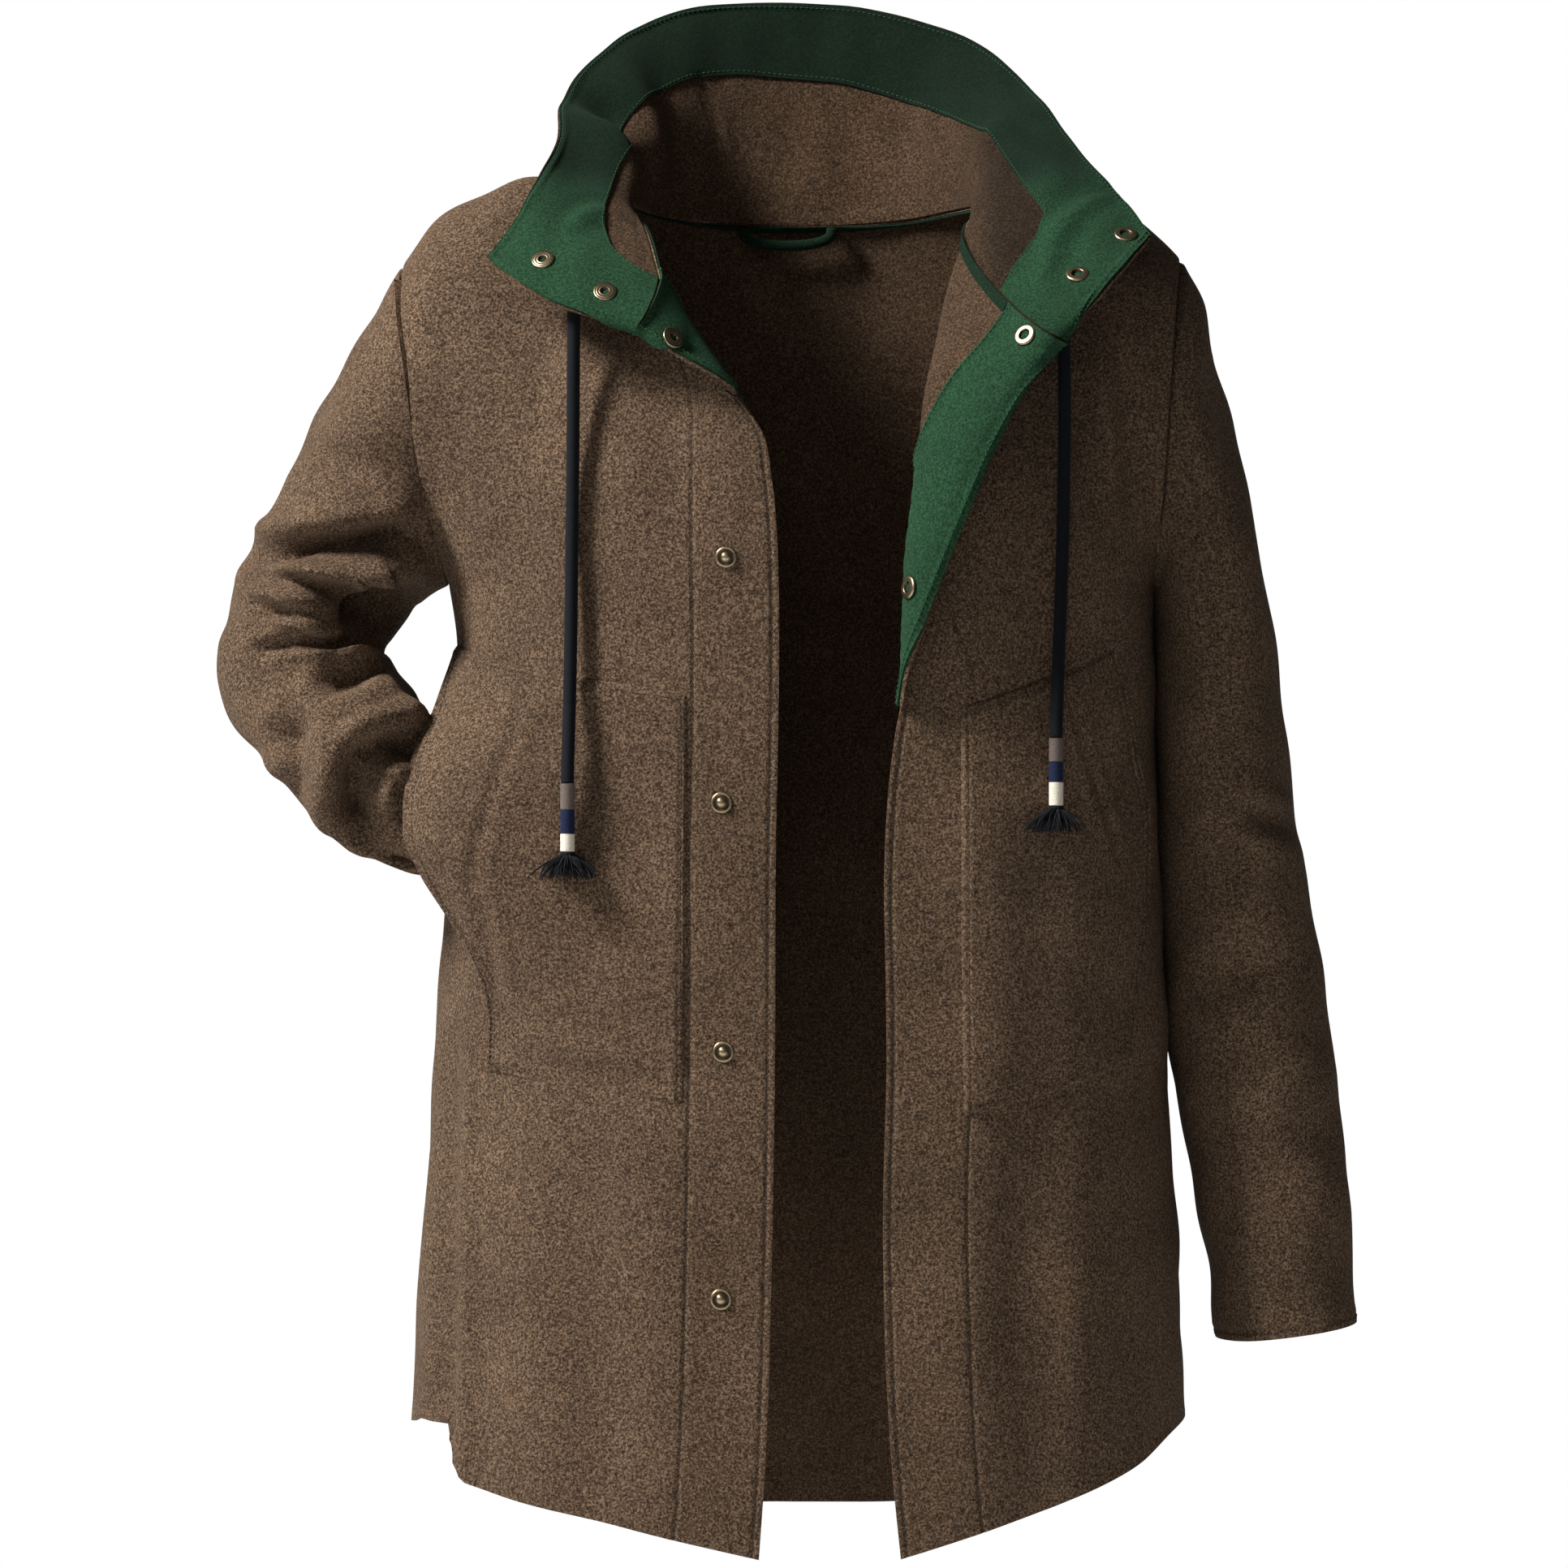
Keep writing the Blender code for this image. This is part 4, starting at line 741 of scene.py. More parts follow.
def felt(name, shades, flecks, sheen=0.06, sheen_tint=(0.55, 0.42, 0.30), painted_shade_along=None):
    """Milled wool: yarn shades mixed at random, fine loose fibres, and painted shade that may darken it along
    one axis.
    """
    made, tree, shader = new_material(name, roughness=0.95)
    place = node(tree, "ShaderNodeTexCoord").outputs["Object"]
    grain = noise(tree, place, 900.0, 3.0, 0.7)
    yarn = noise(tree, place, 620.0, 3.0, 0.65)
    cloud = noise(tree, place, 16.0, 2.0, 0.55)
    mixed = maths(tree, "MULTIPLY", maths(tree, "ADD", grain, yarn), 0.5)
    colour = ramp(tree, mixed, ((0.41, shades[0]), (0.50, shades[1]), (0.59, shades[2])))
    height = grain
    for number, (fleck, scale, width, amount) in enumerate(flecks):
        moved = node(tree, "ShaderNodeMapping", {
            "Vector": place, "Location": (0.37 * number + 0.1, 0.7, 0.21 * number),
        }).outputs["Vector"]
        off = maths(tree, "ABSOLUTE", maths(tree, "SUBTRACT", noise(tree, moved, scale, 1.0, 0.4, 1.4), 0.5))
        fibre = maths(tree, "MULTIPLY", between(tree, off, 0.0, width, amount, 0.0, "SMOOTHSTEP"), yarn)
        mixed = node(tree, "ShaderNodeMix", {0: fibre, 6: colour, 7: (*fleck, 1.0)}, data_type="RGBA")
        colour = mixed.outputs[2]
        height = maths(tree, "ADD", height, maths(tree, "MULTIPLY", fibre, 0.6))
    shade = between(tree, cloud, 0.3, 0.7, 0.86, 1.12)
    # painted shade: the colour is darkened by position along one axis of the object
    if painted_shade_along:
        axis, start, end, least = painted_shade_along
        away = node(tree, "ShaderNodeSeparateXYZ", {0: place}).outputs[axis]
        shade = maths(tree, "MULTIPLY", shade, between(tree, away, start, end, 1.0, least, "SMOOTHSTEP"))
    final = node(tree, "ShaderNodeVectorMath", {0: colour, "Scale": shade}, operation="SCALE")
    tree.links.new(final.outputs[0], shader.inputs["Base Color"])
    bumpy(tree, shader, height, strength=0.75, depth=0.0009)
    matt_wool(shader, sheen, 0.55)
    shader.inputs["Sheen Tint"].default_value = (*sheen_tint, 1.0)
    return made


BROWN_SHADES = ((0.017, 0.009, 0.005), (0.084, 0.050, 0.029), (0.235, 0.158, 0.102))
BROWN_FLECKS = (
    ((0.38, 0.3, 0.22), 520.0, 0.02, 0.85), ((0.27, 0.145, 0.055), 400.0, 0.018, 0.6),
    ((0.02, 0.013, 0.009), 460.0, 0.022, 0.9), ((0.14, 0.145, 0.16), 300.0, 0.012, 0.5),
)
brown = felt("loden_brown", BROWN_SHADES, BROWN_FLECKS)
# the inner side isn't brushed, so it is flatter and finer; its darker shades are painted shade of the coat's
# shaded inside
INNER_TONES_WITH_PAINTED_SHADE = ((0.016, 0.009, 0.005), (0.052, 0.029, 0.015), (0.118, 0.074, 0.044))
INNER_FLECKS = (((0.20, 0.15, 0.105), 600.0, 0.016, 0.60), ((0.012, 0.008, 0.005), 520.0, 0.020, 0.80))
brown_inside_painted_shade = felt("loden_brown_inside", INNER_TONES_WITH_PAINTED_SHADE, INNER_FLECKS, sheen=0.04)
brown_thread = thread_material("sewing_thread_brown", (0.052, 0.036, 0.025), scale=2500.0, sheen=0.1)

STITCH_PITCH = 0.0034
STITCH_LENGTH = 0.0026
STITCH_RADIUS = 0.00030
# along a stitch, and how high its thread stands there, in radii
STITCH_MARKS = np.array([0.0, 0.28, 0.72, 1.0])
STITCH_LIFTS = np.array([-0.9, 0.55, 0.55, -0.9])
ON_CLOTH = 0.0002


def stitches(name, lines, finish):
    """Lines of sewing: each stitch is a short spindle of thread, its ends drawn down into the cloth."""
    points = []
    faces = []
    for line, outward in lines:
        along = running_length(line)
        both = np.hstack([line, outward])
        for start in np.arange(STITCH_PITCH / 2, along[-1] - STITCH_LENGTH, STITCH_PITCH):
            values = read_columns(start + STITCH_LENGTH * STITCH_MARKS, along, both)
            centres = values[:, :3]
            up = unit(values[:, 3:].mean(axis=0))
            across = np.cross(unit(centres[3] - centres[0]), up)
            centres = centres + STITCH_RADIUS * STITCH_LIFTS[:, None] * up
            first = len(points)
            points.append(centres[0])
            for centre in centres[1:3]:
                for out, rise in ((1, 0), (0, 1), (-1, 0), (0, -1)):
                    points.append(centre + STITCH_RADIUS * (out * across + rise * up))
            points.append(centres[3])
            for corner in range(4):
                near, after = first + 1 + corner, first + 1 + (corner + 1) % 4
                faces += [(first, after, near), (near, after, after + 4, near + 4)]
                faces += [(first + 9, near + 4, after + 4)]
    made = add_mesh(name, points, faces, [finish])
    fitted(made)
    return made


def sewing_line(grid, outward, places, lift):
    """Part of a grid as a line to sew along, on the side of the cloth that is lifted so far."""
    return grid[places] + outward[places] * lift, outward[places] * (1 if lift >= 0 else -1)


def closest(values, at):
    return int(np.argmin(np.abs(values - at)))


# Creases of the fronts (x and z of start, middle and end, half width, depth): soft folds that fan
# from the shoulders under the collar's weight
FRONT_CREASES = (
    (0.1734, -0.0671, 0.1744, -0.118, 0.1754, -0.1762, 0.008, 0.0051),
    (0.1928, -0.0549, 0.1996, -0.1034, 0.2035, -0.1665, 0.008, 0.0051),
    (0.211, -0.0452, 0.217, -0.0937, 0.216, -0.1568, 0.007, 0.0033),
    (0.155, -0.084, 0.1477, -0.1471, 0.1404, -0.215, 0.014, 0.0027),
    (-0.0875, -0.084, -0.076, -0.1277, -0.07, -0.1859, 0.016, 0.0039),
    (-0.1748, -0.0792, -0.1651, -0.1471, -0.1603, -0.215, 0.026, 0.0027),
    (-0.21, -0.5, -0.2115, -0.63, -0.2118, -0.77, 0.006, 0.007),
    (0.13, -0.56, 0.135, -0.66, 0.136, -0.75, 0.02, 0.0033),
    (-0.12, -0.59, -0.118, -0.68, -0.115, -0.77, 0.022, 0.003),
)
BACK_CREASES = (
    (-0.15, -0.05, -0.135, -0.13, -0.125, -0.23, 0.018, 0.0028),
    (0.148, -0.05, 0.138, -0.14, 0.133, -0.25, 0.018, 0.0028),
    (-0.195, -0.15, -0.18, -0.22, -0.15, -0.28, 0.012, 0.0026),
    (0.195, -0.14, 0.178, -0.215, 0.145, -0.29, 0.013, 0.0026),
    (-0.09, -0.43, -0.095, -0.6, -0.1, -0.79, 0.026, 0.0035),
    (0.095, -0.41, 0.105, -0.6, 0.11, -0.79, 0.026, 0.0035),
    (0.005, -0.3, 0.0, -0.52, 0.002, -0.78, 0.03, 0.0025),
)

lower_levels = list(np.linspace(0, 1, LOWER_ROWS))
upper_levels = list(1 + np.linspace(0, 1, UPPER_ROWS + 1)[1:])
close_levels = [1.984, 1.992, 1.9965]
levels = sorted(lower_levels + upper_levels + close_levels)
armpit = LOWER_ROWS - 1
main_rows = [row for row, level in enumerate(levels) if level > 0.999 and level not in close_levels]

grids = {
    "front_right": np.array([front_row(RIGHT, level) for level in levels]),
    "front_left": np.array([front_row(LEFT, level) for level in levels]),
    "back": np.array([back_row(level) for level in levels]),
}
normals = {name: surface_normals(grid, flip=name != "front_right") for name, grid in grids.items()}
for name, order in (("front_right", 1), ("front_left", -1)):
    back_normals = normals["back"][:, ::order]
    side = unit(normals[name][:armpit + 1, 0] + back_normals[:armpit + 1, 0])
    normals[name][:armpit + 1, 0] = side
    back_normals[:armpit + 1, 0] = side
    shoulder = slice(0, SHOULDER_COLUMNS + 1)
    top = unit(normals[name][-1, shoulder] + back_normals[-1, shoulder])
    normals[name][-1, shoulder] = top
    back_normals[-1, shoulder] = top

# where the left sleeve and the side lie against each other: height, how far each side swells
SIDE_CLOSES = ((-0.190, 0.0), (-0.230, 0.0020), (-0.490, 0.0020), (-0.535, 0.0))
SLEEVE_CLOSES = (
    (-0.2, 0.0), (-0.228, 0.004), (-0.26, 0.005), (-0.37, 0.0052), (-0.43, 0.0036), (-0.49, 0.003),
    (-0.53, 0.0),
)


def closed_up(grid, normals, table, facing):
    """The swell of the left side (facing 1) or the left sleeve (facing -1) where the two touch."""
    heights, swells = np.array(table[::-1]).T
    swell = np.interp(grid[..., 2], heights, swells)
    return swell * np.clip((normals[..., 0] * facing - 0.1) / 0.4, 0, 1) * (grid[..., 0] > 0.15)


# the hem behind the fold at the right side hangs higher: x, how much
HEM_LIFTS = (
    (-0.237, 0.0), (-0.229, 0.01), (-0.22, 0.017), (-0.211, 0.026), (-0.2085, 0.008), (-0.2, 0.0),
)
HEM_LIFT_REACH = 0.11
for grid in grids.values():
    from_hem = np.clip(1 - distance_along(grid, 0, False) / HEM_LIFT_REACH, 0, 1) ** 2
    across, lifts = np.array(HEM_LIFTS).T
    grid[..., 2] += np.interp(grid[..., 0], across, lifts) * from_hem
plain = {name: grid.copy() for name, grid in grids.items()}
for seed, name in enumerate(("front_right", "front_left", "back")):
    grid = plain[name]
    rise = groove(distance_along(grid, 1, False)) + groove(distance_along(grid, 0, True))
    if name == "back":
        rise += groove(distance_along(grid, 1, True))
        rise += front_and_back(grid, normals[name], (), BACK_CREASES)
    else:
        from_edge = distance_along(grid, 1, True)
        rise += stitched(from_edge, EDGE_STITCH) + stitched(from_edge, FACING_STITCH)
        rise += front_and_back(grid, normals[name], FRONT_CREASES, ())
    from_seams = np.minimum(1, distance_along(grid, 0, True) / 0.02) * np.minimum(
        1, distance_along(grid, 1, False) / 0.02
    )
    rise += uneven(grid, height=0.0010, size=0.075, seed=11 + seed) * from_seams
    if name != "front_right":
        rise += closed_up(grid, normals[name], SIDE_CLOSES, 1.0)
    grids[name] = grid + normals[name] * rise[..., None]

stitch_column = {step: -len(FACING_STEPS) + FACING_STEPS.index(step) for step in (EDGE_STITCH, FACING_STITCH)}
# flat width and length of each cut, and its area where the cut isn't a rectangle
for name, flat, area in (
    ("front_right", (0.34, 0.86), 0.215), ("front_left", (0.34, 0.86), 0.200), ("back", (0.60, 0.87), 0.455),
):
    made = wall(name + "_cloth", grids[name], normals[name], brown, inside=brown_inside_painted_shade)
    fitted(made, name)
    if name != "back":
        sewn = [
            sewing_line(grids[name], normals[name], (slice(None), stitch_column[step]), ON_CLOTH)
            for step in (EDGE_STITCH, FACING_STITCH)
        ]
        stitches(name + "_stitching", sewn, brown_thread)


# Sleeves
# Two tubes of the brown loden set into the armholes. The right one is bent at the elbow with its end
# in the pocket, so its cloth crumples; the left one hangs straight to a topstitched cuff.
SLEEVE_RINGS = 170
# along the sleeve, outer edge (x, z), inner edge (x, z), middle and half depth (y), turn in degrees
SLEEVE_RIGHT = (
    (0.0, -0.244, -0.022, -0.215, -0.22, 0.0, 0.072, 0),
    (0.06, -0.2575, -0.0455, -0.2215, -0.2228, 0.0, 0.074, 0),
    (0.12, -0.2777, -0.0784, -0.2255, -0.225, 0.0, 0.076, 0),
    (0.18, -0.2969, -0.1112, -0.2292, -0.2272, 0.002, 0.077, 0),
    (0.25, -0.314, -0.1491, -0.2332, -0.2299, 0.004, 0.077, 0),
    (0.33, -0.3322, -0.1869, -0.2388, -0.2334, 0.006, 0.075, 0),
    (0.39, -0.3459, -0.2097, -0.2438, -0.241, 0.007, 0.074, 0),
    (0.45, -0.3534, -0.2375, -0.2504, -0.2526, 0.007, 0.072, 0),
    (0.51, -0.361, -0.2587, -0.256, -0.2632, 0.005, 0.07, 0),
    (0.57, -0.3575, -0.2829, -0.2524, -0.27, -0.002, 0.067, 0),
    (0.63, -0.349, -0.3056, -0.2449, -0.279, -0.014, 0.062, 0),
    (0.71, -0.325, -0.331, -0.235, -0.2886, -0.034, 0.055, 6),
    (0.79, -0.296, -0.3609, -0.226, -0.302, -0.053, 0.043, 16),
    (0.83, -0.281, -0.374, -0.2225, -0.312, -0.06, 0.031, 26),
    (0.87, -0.264, -0.385, -0.216, -0.323, -0.066, 0.021, 36),
    (0.94, -0.236, -0.397, -0.205, -0.343, -0.072, 0.012, 48),
    (1.0, -0.218, -0.4, -0.192, -0.356, -0.082, 0.01, 52),
)
SLEEVE_LEFT = (
    (0.0, 0.24, -0.0185, 0.22, -0.22, 0.0, 0.072, 0),
    (0.04, 0.2505, -0.04, 0.225, -0.225, 0.001, 0.074, 0),
    (0.09, 0.26, -0.078, 0.2264, -0.231, 0.003, 0.076, 0),
    (0.15, 0.272, -0.121, 0.2272, -0.239, 0.005, 0.077, 0),
    (0.23, 0.2854, -0.1844, 0.2275, -0.25, 0.007, 0.077, 0),
    (0.31, 0.295, -0.24, 0.2282, -0.28, 0.008, 0.075, 0),
    (0.42, 0.305, -0.31, 0.2288, -0.33, 0.008, 0.071, 0),
    (0.52, 0.3132, -0.3713, 0.2292, -0.385, 0.007, 0.068, 0),
    (0.61, 0.3233, -0.4369, 0.231, -0.445, 0.004, 0.064, 0),
    (0.73, 0.3359, -0.5127, 0.235, -0.513, -0.002, 0.06, 0),
    (0.81, 0.34, -0.56, 0.2412, -0.563, -0.006, 0.058, 0),
    (0.9, 0.3435, -0.6137, 0.2515, -0.618, -0.01, 0.056, 0),
    (1.0, 0.347, -0.675, 0.263, -0.687, -0.013, 0.054, 0),
)
CUFF_STITCH = 0.0050
SLEEVE_RIGHT_CREASES = (
    (-0.2943, -0.1408, -0.2745, -0.1494, -0.2523, -0.1568, 0.01, 0.0065),
    (-0.3351, -0.2026, -0.2869, -0.1996, -0.2226, -0.1902, 0.0075, 0.0203),
    (-0.3351, -0.2162, -0.3067, -0.2199, -0.2758, -0.2285, 0.0052, 0.013),
    (-0.28, -0.2275, -0.2547, -0.2372, -0.2354, -0.2322, 0.012, 0.0225),
    (-0.277, -0.2496, -0.2597, -0.2496, -0.2449, -0.2421, 0.012, 0.0225),
    (-0.3314, -0.231, -0.3141, -0.2384, -0.2869, -0.2347, 0.0038, 0.0056),
    (-0.3302, -0.2441, -0.3141, -0.2421, -0.298, -0.2476, 0.003, 0.0042),
    (-0.3302, -0.25, -0.3116, -0.2491, -0.2943, -0.255, 0.003, 0.0038),
    (-0.3264, -0.2619, -0.2918, -0.2575, -0.2547, -0.2656, 0.0045, 0.0082),
    (-0.2819, -0.2829, -0.2683, -0.2797, -0.2535, -0.2718, 0.0072, 0.0123),
    (-0.2498, -0.278, -0.2325, -0.2866, -0.2214, -0.3015, 0.0055, 0.009),
    (-0.324, -0.3213, -0.3079, -0.3138, -0.3017, -0.3052, 0.0085, 0.0072),
    (-0.2201, -0.3217, -0.2473, -0.3213, -0.2609, -0.3324, 0.008, 0.0159),
    (-0.2609, -0.3324, -0.2659, -0.3509, -0.2641, -0.367, 0.0085, 0.0188),
    (-0.303, -0.3089, -0.303, -0.3336, -0.3079, -0.3534, 0.0085, 0.0072),
    (-0.2523, -0.3843, -0.2374, -0.3954, -0.2263, -0.4066, 0.008, 0.0087),
)
SLEEVE_RIGHT_BACK_CREASES = (
    (-0.335, -0.205, -0.295, -0.215, -0.245, -0.225, 0.01, 0.005),
    (-0.345, -0.235, -0.3, -0.245, -0.25, -0.25, 0.008, 0.0045),
    (-0.345, -0.265, -0.305, -0.272, -0.255, -0.27, 0.009, 0.0045),
    (-0.32, -0.305, -0.29, -0.3, -0.255, -0.295, 0.01, 0.0035),
    (-0.29, -0.12, -0.265, -0.15, -0.24, -0.165, 0.012, 0.0028),
)
SLEEVE_LEFT_CREASES = (
    (0.2768, -0.3598, 0.2927, -0.3667, 0.3105, -0.3717, 0.007, 0.0057),
    (0.2422, -0.4523, 0.2768, -0.4597, 0.3189, -0.4449, 0.017, 0.0061),
    (0.2472, -0.4943, 0.2867, -0.5042, 0.3263, -0.4869, 0.017, 0.0057),
    (0.2374, -0.1432, 0.2492, -0.1828, 0.2571, -0.2421, 0.012, 0.0046),
    (0.2571, -0.0789, 0.267, -0.1235, 0.2719, -0.1828, 0.014, 0.0034),
    (0.267, -0.5685, 0.2966, -0.5734, 0.3312, -0.5586, 0.02, 0.0038),
)
SLEEVE_LEFT_BACK_CREASES = (
    (0.2422, -0.36, 0.2768, -0.375, 0.305, -0.365, 0.015, 0.0034),
    (0.24, -0.415, 0.2768, -0.425, 0.3189, -0.41, 0.015, 0.0036),
    (0.245, -0.475, 0.28, -0.485, 0.323, -0.465, 0.017, 0.003),
    (0.245, -0.13, 0.256, -0.18, 0.264, -0.23, 0.013, 0.0026),
)


def sleeve_grid(table, side, loop):
    """Rings of a sleeve: the armhole seam first, then ovals that span its outer and inner edge."""
    rings = [loop]
    half = len(loop) // 2
    angles = [math.pi * (1 - step / half) for step in range(2 * half)]
    for place in np.linspace(0, 1, SLEEVE_RINGS + 1)[1:]:
        outer_x, outer_z, inner_x, inner_z, middle_y, depth, turn = read_table(table, place)
        outer = np.array([outer_x, middle_y, outer_z])
        inner = np.array([inner_x, middle_y, inner_z])
        reach = (outer - inner) / 2
        swing = math.radians(turn)
        thick = np.array([side * math.sin(swing), -math.cos(swing), 0.0]) * depth
        ring = []
        for angle in angles:
            up = math.copysign(abs(math.cos(angle)) ** 0.92, math.cos(angle))
            out = math.copysign(abs(math.sin(angle)) ** 0.92, math.sin(angle))
            ring.append((outer + inner) / 2 + reach * up + thick * out)
        rings.append(np.array(ring))
    return np.array(rings)


def close_up_rings(grid, first, last):
    """Adds rings close to both ends of a sleeve, for the seam's groove and the cuff's stitching."""
    start = [grid[0] + (grid[1] - grid[0]) * share for share in first]
    end = [grid[-1] + (grid[-2] - grid[-1]) * share for share in last]
    return np.concatenate([grid[:1], np.array(start), grid[1:-1], np.array(end), grid[-1:]])


for name, front, side, table, front_table, back_table, flat, area in (
    ("sleeve_right", "front_right", RIGHT, SLEEVE_RIGHT, SLEEVE_RIGHT_CREASES, SLEEVE_RIGHT_BACK_CREASES,
     (0.44, 0.42), 0.13),
    ("sleeve_left", "front_left", LEFT, SLEEVE_LEFT, SLEEVE_LEFT_CREASES, SLEEVE_LEFT_BACK_CREASES,
     (0.44, 0.66), 0.235),
):
    order = 1 if side == RIGHT else -1
    back_grid = plain["back"][:, ::order]
    back_normals = normals["back"][:, ::order]
    others = main_rows[-2:0:-1]
    ring = np.vstack([plain[front][main_rows, 0], back_grid[others, 0]])
    ring_normals = np.vstack([normals[front][main_rows, 0], back_normals[others, 0]])
    grid = sleeve_grid(table, side, ring)
    grid = close_up_rings(grid, (0.22, 0.5, 0.8), (0.9, 0.55, 0.3, 0.12))
    outward = surface_normals(grid, flip=False, closed=True)
    if ((grid - grid.mean(axis=1, keepdims=True)) * outward).sum() < 0:
        outward = -outward
    outward[0] = unit(outward[0] + ring_normals)
    rise = groove(distance_along(grid, 0, False))
    from_cuff = distance_along(grid, 0, True)
    rise += stitched(from_cuff, CUFF_STITCH)
    ease = np.clip(distance_along(grid, 0, False) / 0.03, 0, 1)
    rise += front_and_back(grid, outward, front_table, back_table) * ease
    if side == LEFT:
        rise += closed_up(grid, outward, SLEEVE_CLOSES, -1.0)
    rise += uneven(grid, height=0.0013, size=0.060, seed=21 + side) * ease
    grid = grid + outward * rise[..., None]
    made = wall(name + "_cloth", grid, outward, brown, inside=brown_inside_painted_shade, closed=True)
    fitted(made, name)
    all_round = np.append(np.arange(grid.shape[1]), 0)
    cuff_line = sewing_line(grid, outward, (closest(from_cuff[:, 0], CUFF_STITCH), all_round), ON_CLOTH)
    sewn = stitches(name + "_stitching", [cuff_line], brown_thread)


# Collar
# A tall stand-up collar of the brown loden, sewn to the neck seam and left leaning open. Its inner side
# shows in one layer below the green facing, with one upright seam in it.
RIM_STITCH = 0.0045
COLLAR_LENGTH = 0.73
COLLAR_HEIGHT = 0.135
# the upright seam: share along the collar, and the share of its height where the seam ends
COLLAR_SEAM = 0.406
COLLAR_SEAM_TOP = 0.68
# the collar's rows, as shares of its height
COLLAR_LEVELS = (
    0.0, 0.01, 0.025, 0.05, 0.09, 0.14, 0.19, 0.24, 0.29, 0.34, 0.39, 0.44, 0.49, 0.54, 0.58, 0.61, 0.63,
    0.64, 0.65, 0.665, 0.69, 0.73, 0.77, 0.81, 0.85, 0.89, 0.92, 0.945, 0.958, 0.97, 0.985, 1.0,
)
# along the neck seam, the line where the collar starts to lean out (x, y, z), and its rim (x, y, z)
COLLAR = (
    (0.0, -0.139, -0.131, -0.06, -0.1863, -0.095, -0.0275),
    (0.054, -0.127, -0.112, -0.033, -0.169, -0.076, -0.002),
    (0.12, -0.118, -0.065, 0.003, -0.1569, -0.048, 0.029),
    (0.19, -0.113, -0.02, 0.03, -0.1485, -0.01, 0.054),
    (0.265, -0.107, 0.02, 0.06, -0.1477, 0.03, 0.082),
    (0.335, -0.095, 0.064, 0.088, -0.134, 0.07, 0.1106),
    (0.388, -0.073, 0.094, 0.103, -0.104, 0.105, 0.139),
    (0.44, -0.04, 0.112, 0.109, -0.0626, 0.125, 0.1566),
    (0.49, 0.002, 0.117, 0.109, -0.005, 0.133, 0.1614),
    (0.542, 0.044, 0.114, 0.104, 0.0528, 0.128, 0.157),
    (0.592, 0.08, 0.1, 0.089, 0.11, 0.11, 0.137),
    (0.646, 0.105, 0.07, 0.075, 0.14, 0.08, 0.1094),
    (0.71, 0.12, 0.028, 0.055, 0.1586, 0.04, 0.0807),
    (0.79, 0.128, -0.022, 0.03, 0.1807, -0.02, 0.0404),
    (0.85, 0.14, -0.06, 0.004, 0.1945, -0.042, 0.02),
    (0.92, 0.16, -0.098, -0.027, 0.205, -0.062, 0.006),
    (1.0, 0.18, -0.133, -0.056, 0.2147, -0.085, -0.0132),
)


def collar_grid(seam):
    """Collar between the neck seam and its rim, bent where it starts to lean out."""
    along = running_length(seam)
    rows = [[] for _ in COLLAR_LEVELS]
    for base, place in zip(seam, along / along[-1]):
        edges = read_table(COLLAR, place)
        knee, rim = edges[:3], edges[3:]
        low = np.linalg.norm(knee - base)
        bend = low / (low + np.linalg.norm(rim - knee))
        for row, height in zip(rows, COLLAR_LEVELS):
            row.append(
                base * (height - bend) * (height - 1) / bend
                + knee * height * (height - 1) / (bend * (bend - 1))
                + rim * height * (height - bend) / (1 - bend)
            )
    return np.array(rows), along / along[-1]


def along_neck(rows):
    """The neck seam's part of each piece's top row, from the right front's edge round to the left's."""
    return np.vstack([
        rows["front_right"][-1, SHOULDER_COLUMNS:][::-1],
        rows["back"][-1, SHOULDER_COLUMNS:-SHOULDER_COLUMNS][1:-1],
        rows["front_left"][-1, SHOULDER_COLUMNS:],
    ])


seam = along_neck(plain)
collar, collar_shares = collar_grid(seam)
collar_normals = surface_normals(collar, flip=True)
collar_normals[0] = unit(collar_normals[0] + along_neck(normals))
from_rim = distance_along(collar, 0, True)
from_right_end = distance_along(collar, 1, False)
from_ends = np.minimum(from_right_end, distance_along(collar, 1, True))
across_collar = collar_shares[None, :] + 0 * from_rim
up_collar = np.array(COLLAR_LEVELS)[:, None] + 0 * from_rim
# folds of the collar: share along it, share of its height, reach along and up, and how far they push out
COLLAR_FOLDS = (
    (0.228, 0.45, 0.024, 0.5, -0.0095), (0.29, 0.66, 0.026, 0.28, 0.015), (0.15, 0.7, 0.03, 0.3, 0.003),
    (0.325, 0.3, 0.016, 0.34, -0.006), (0.362, 0.3, 0.009, 0.34, 0.004),
    (0.715, 0.45, 0.022, 0.4, -0.005), (0.78, 0.75, 0.026, 0.18, 0.0035), (0.835, 0.72, 0.02, 0.18, -0.003),
    (0.56, 0.8, 0.06, 0.4, 0.003), (0.43, 0.8, 0.05, 0.4, -0.0025),
)
# creases of the collar in its own flat measures: along and up of start, middle and end, half width, depth
COLLAR_CREASES = (
    (0.436, 0.075, 0.462, 0.035, 0.488, 0.0, 0.006, 0.005),
    (0.52, 0.085, 0.56, 0.095, 0.6, 0.105, 0.008, 0.0028),
    (0.64, 0.12, 0.655, 0.07, 0.68, 0.03, 0.008, 0.003),
    (0.06, 0.08, 0.085, 0.06, 0.095, 0.02, 0.007, 0.003),
)
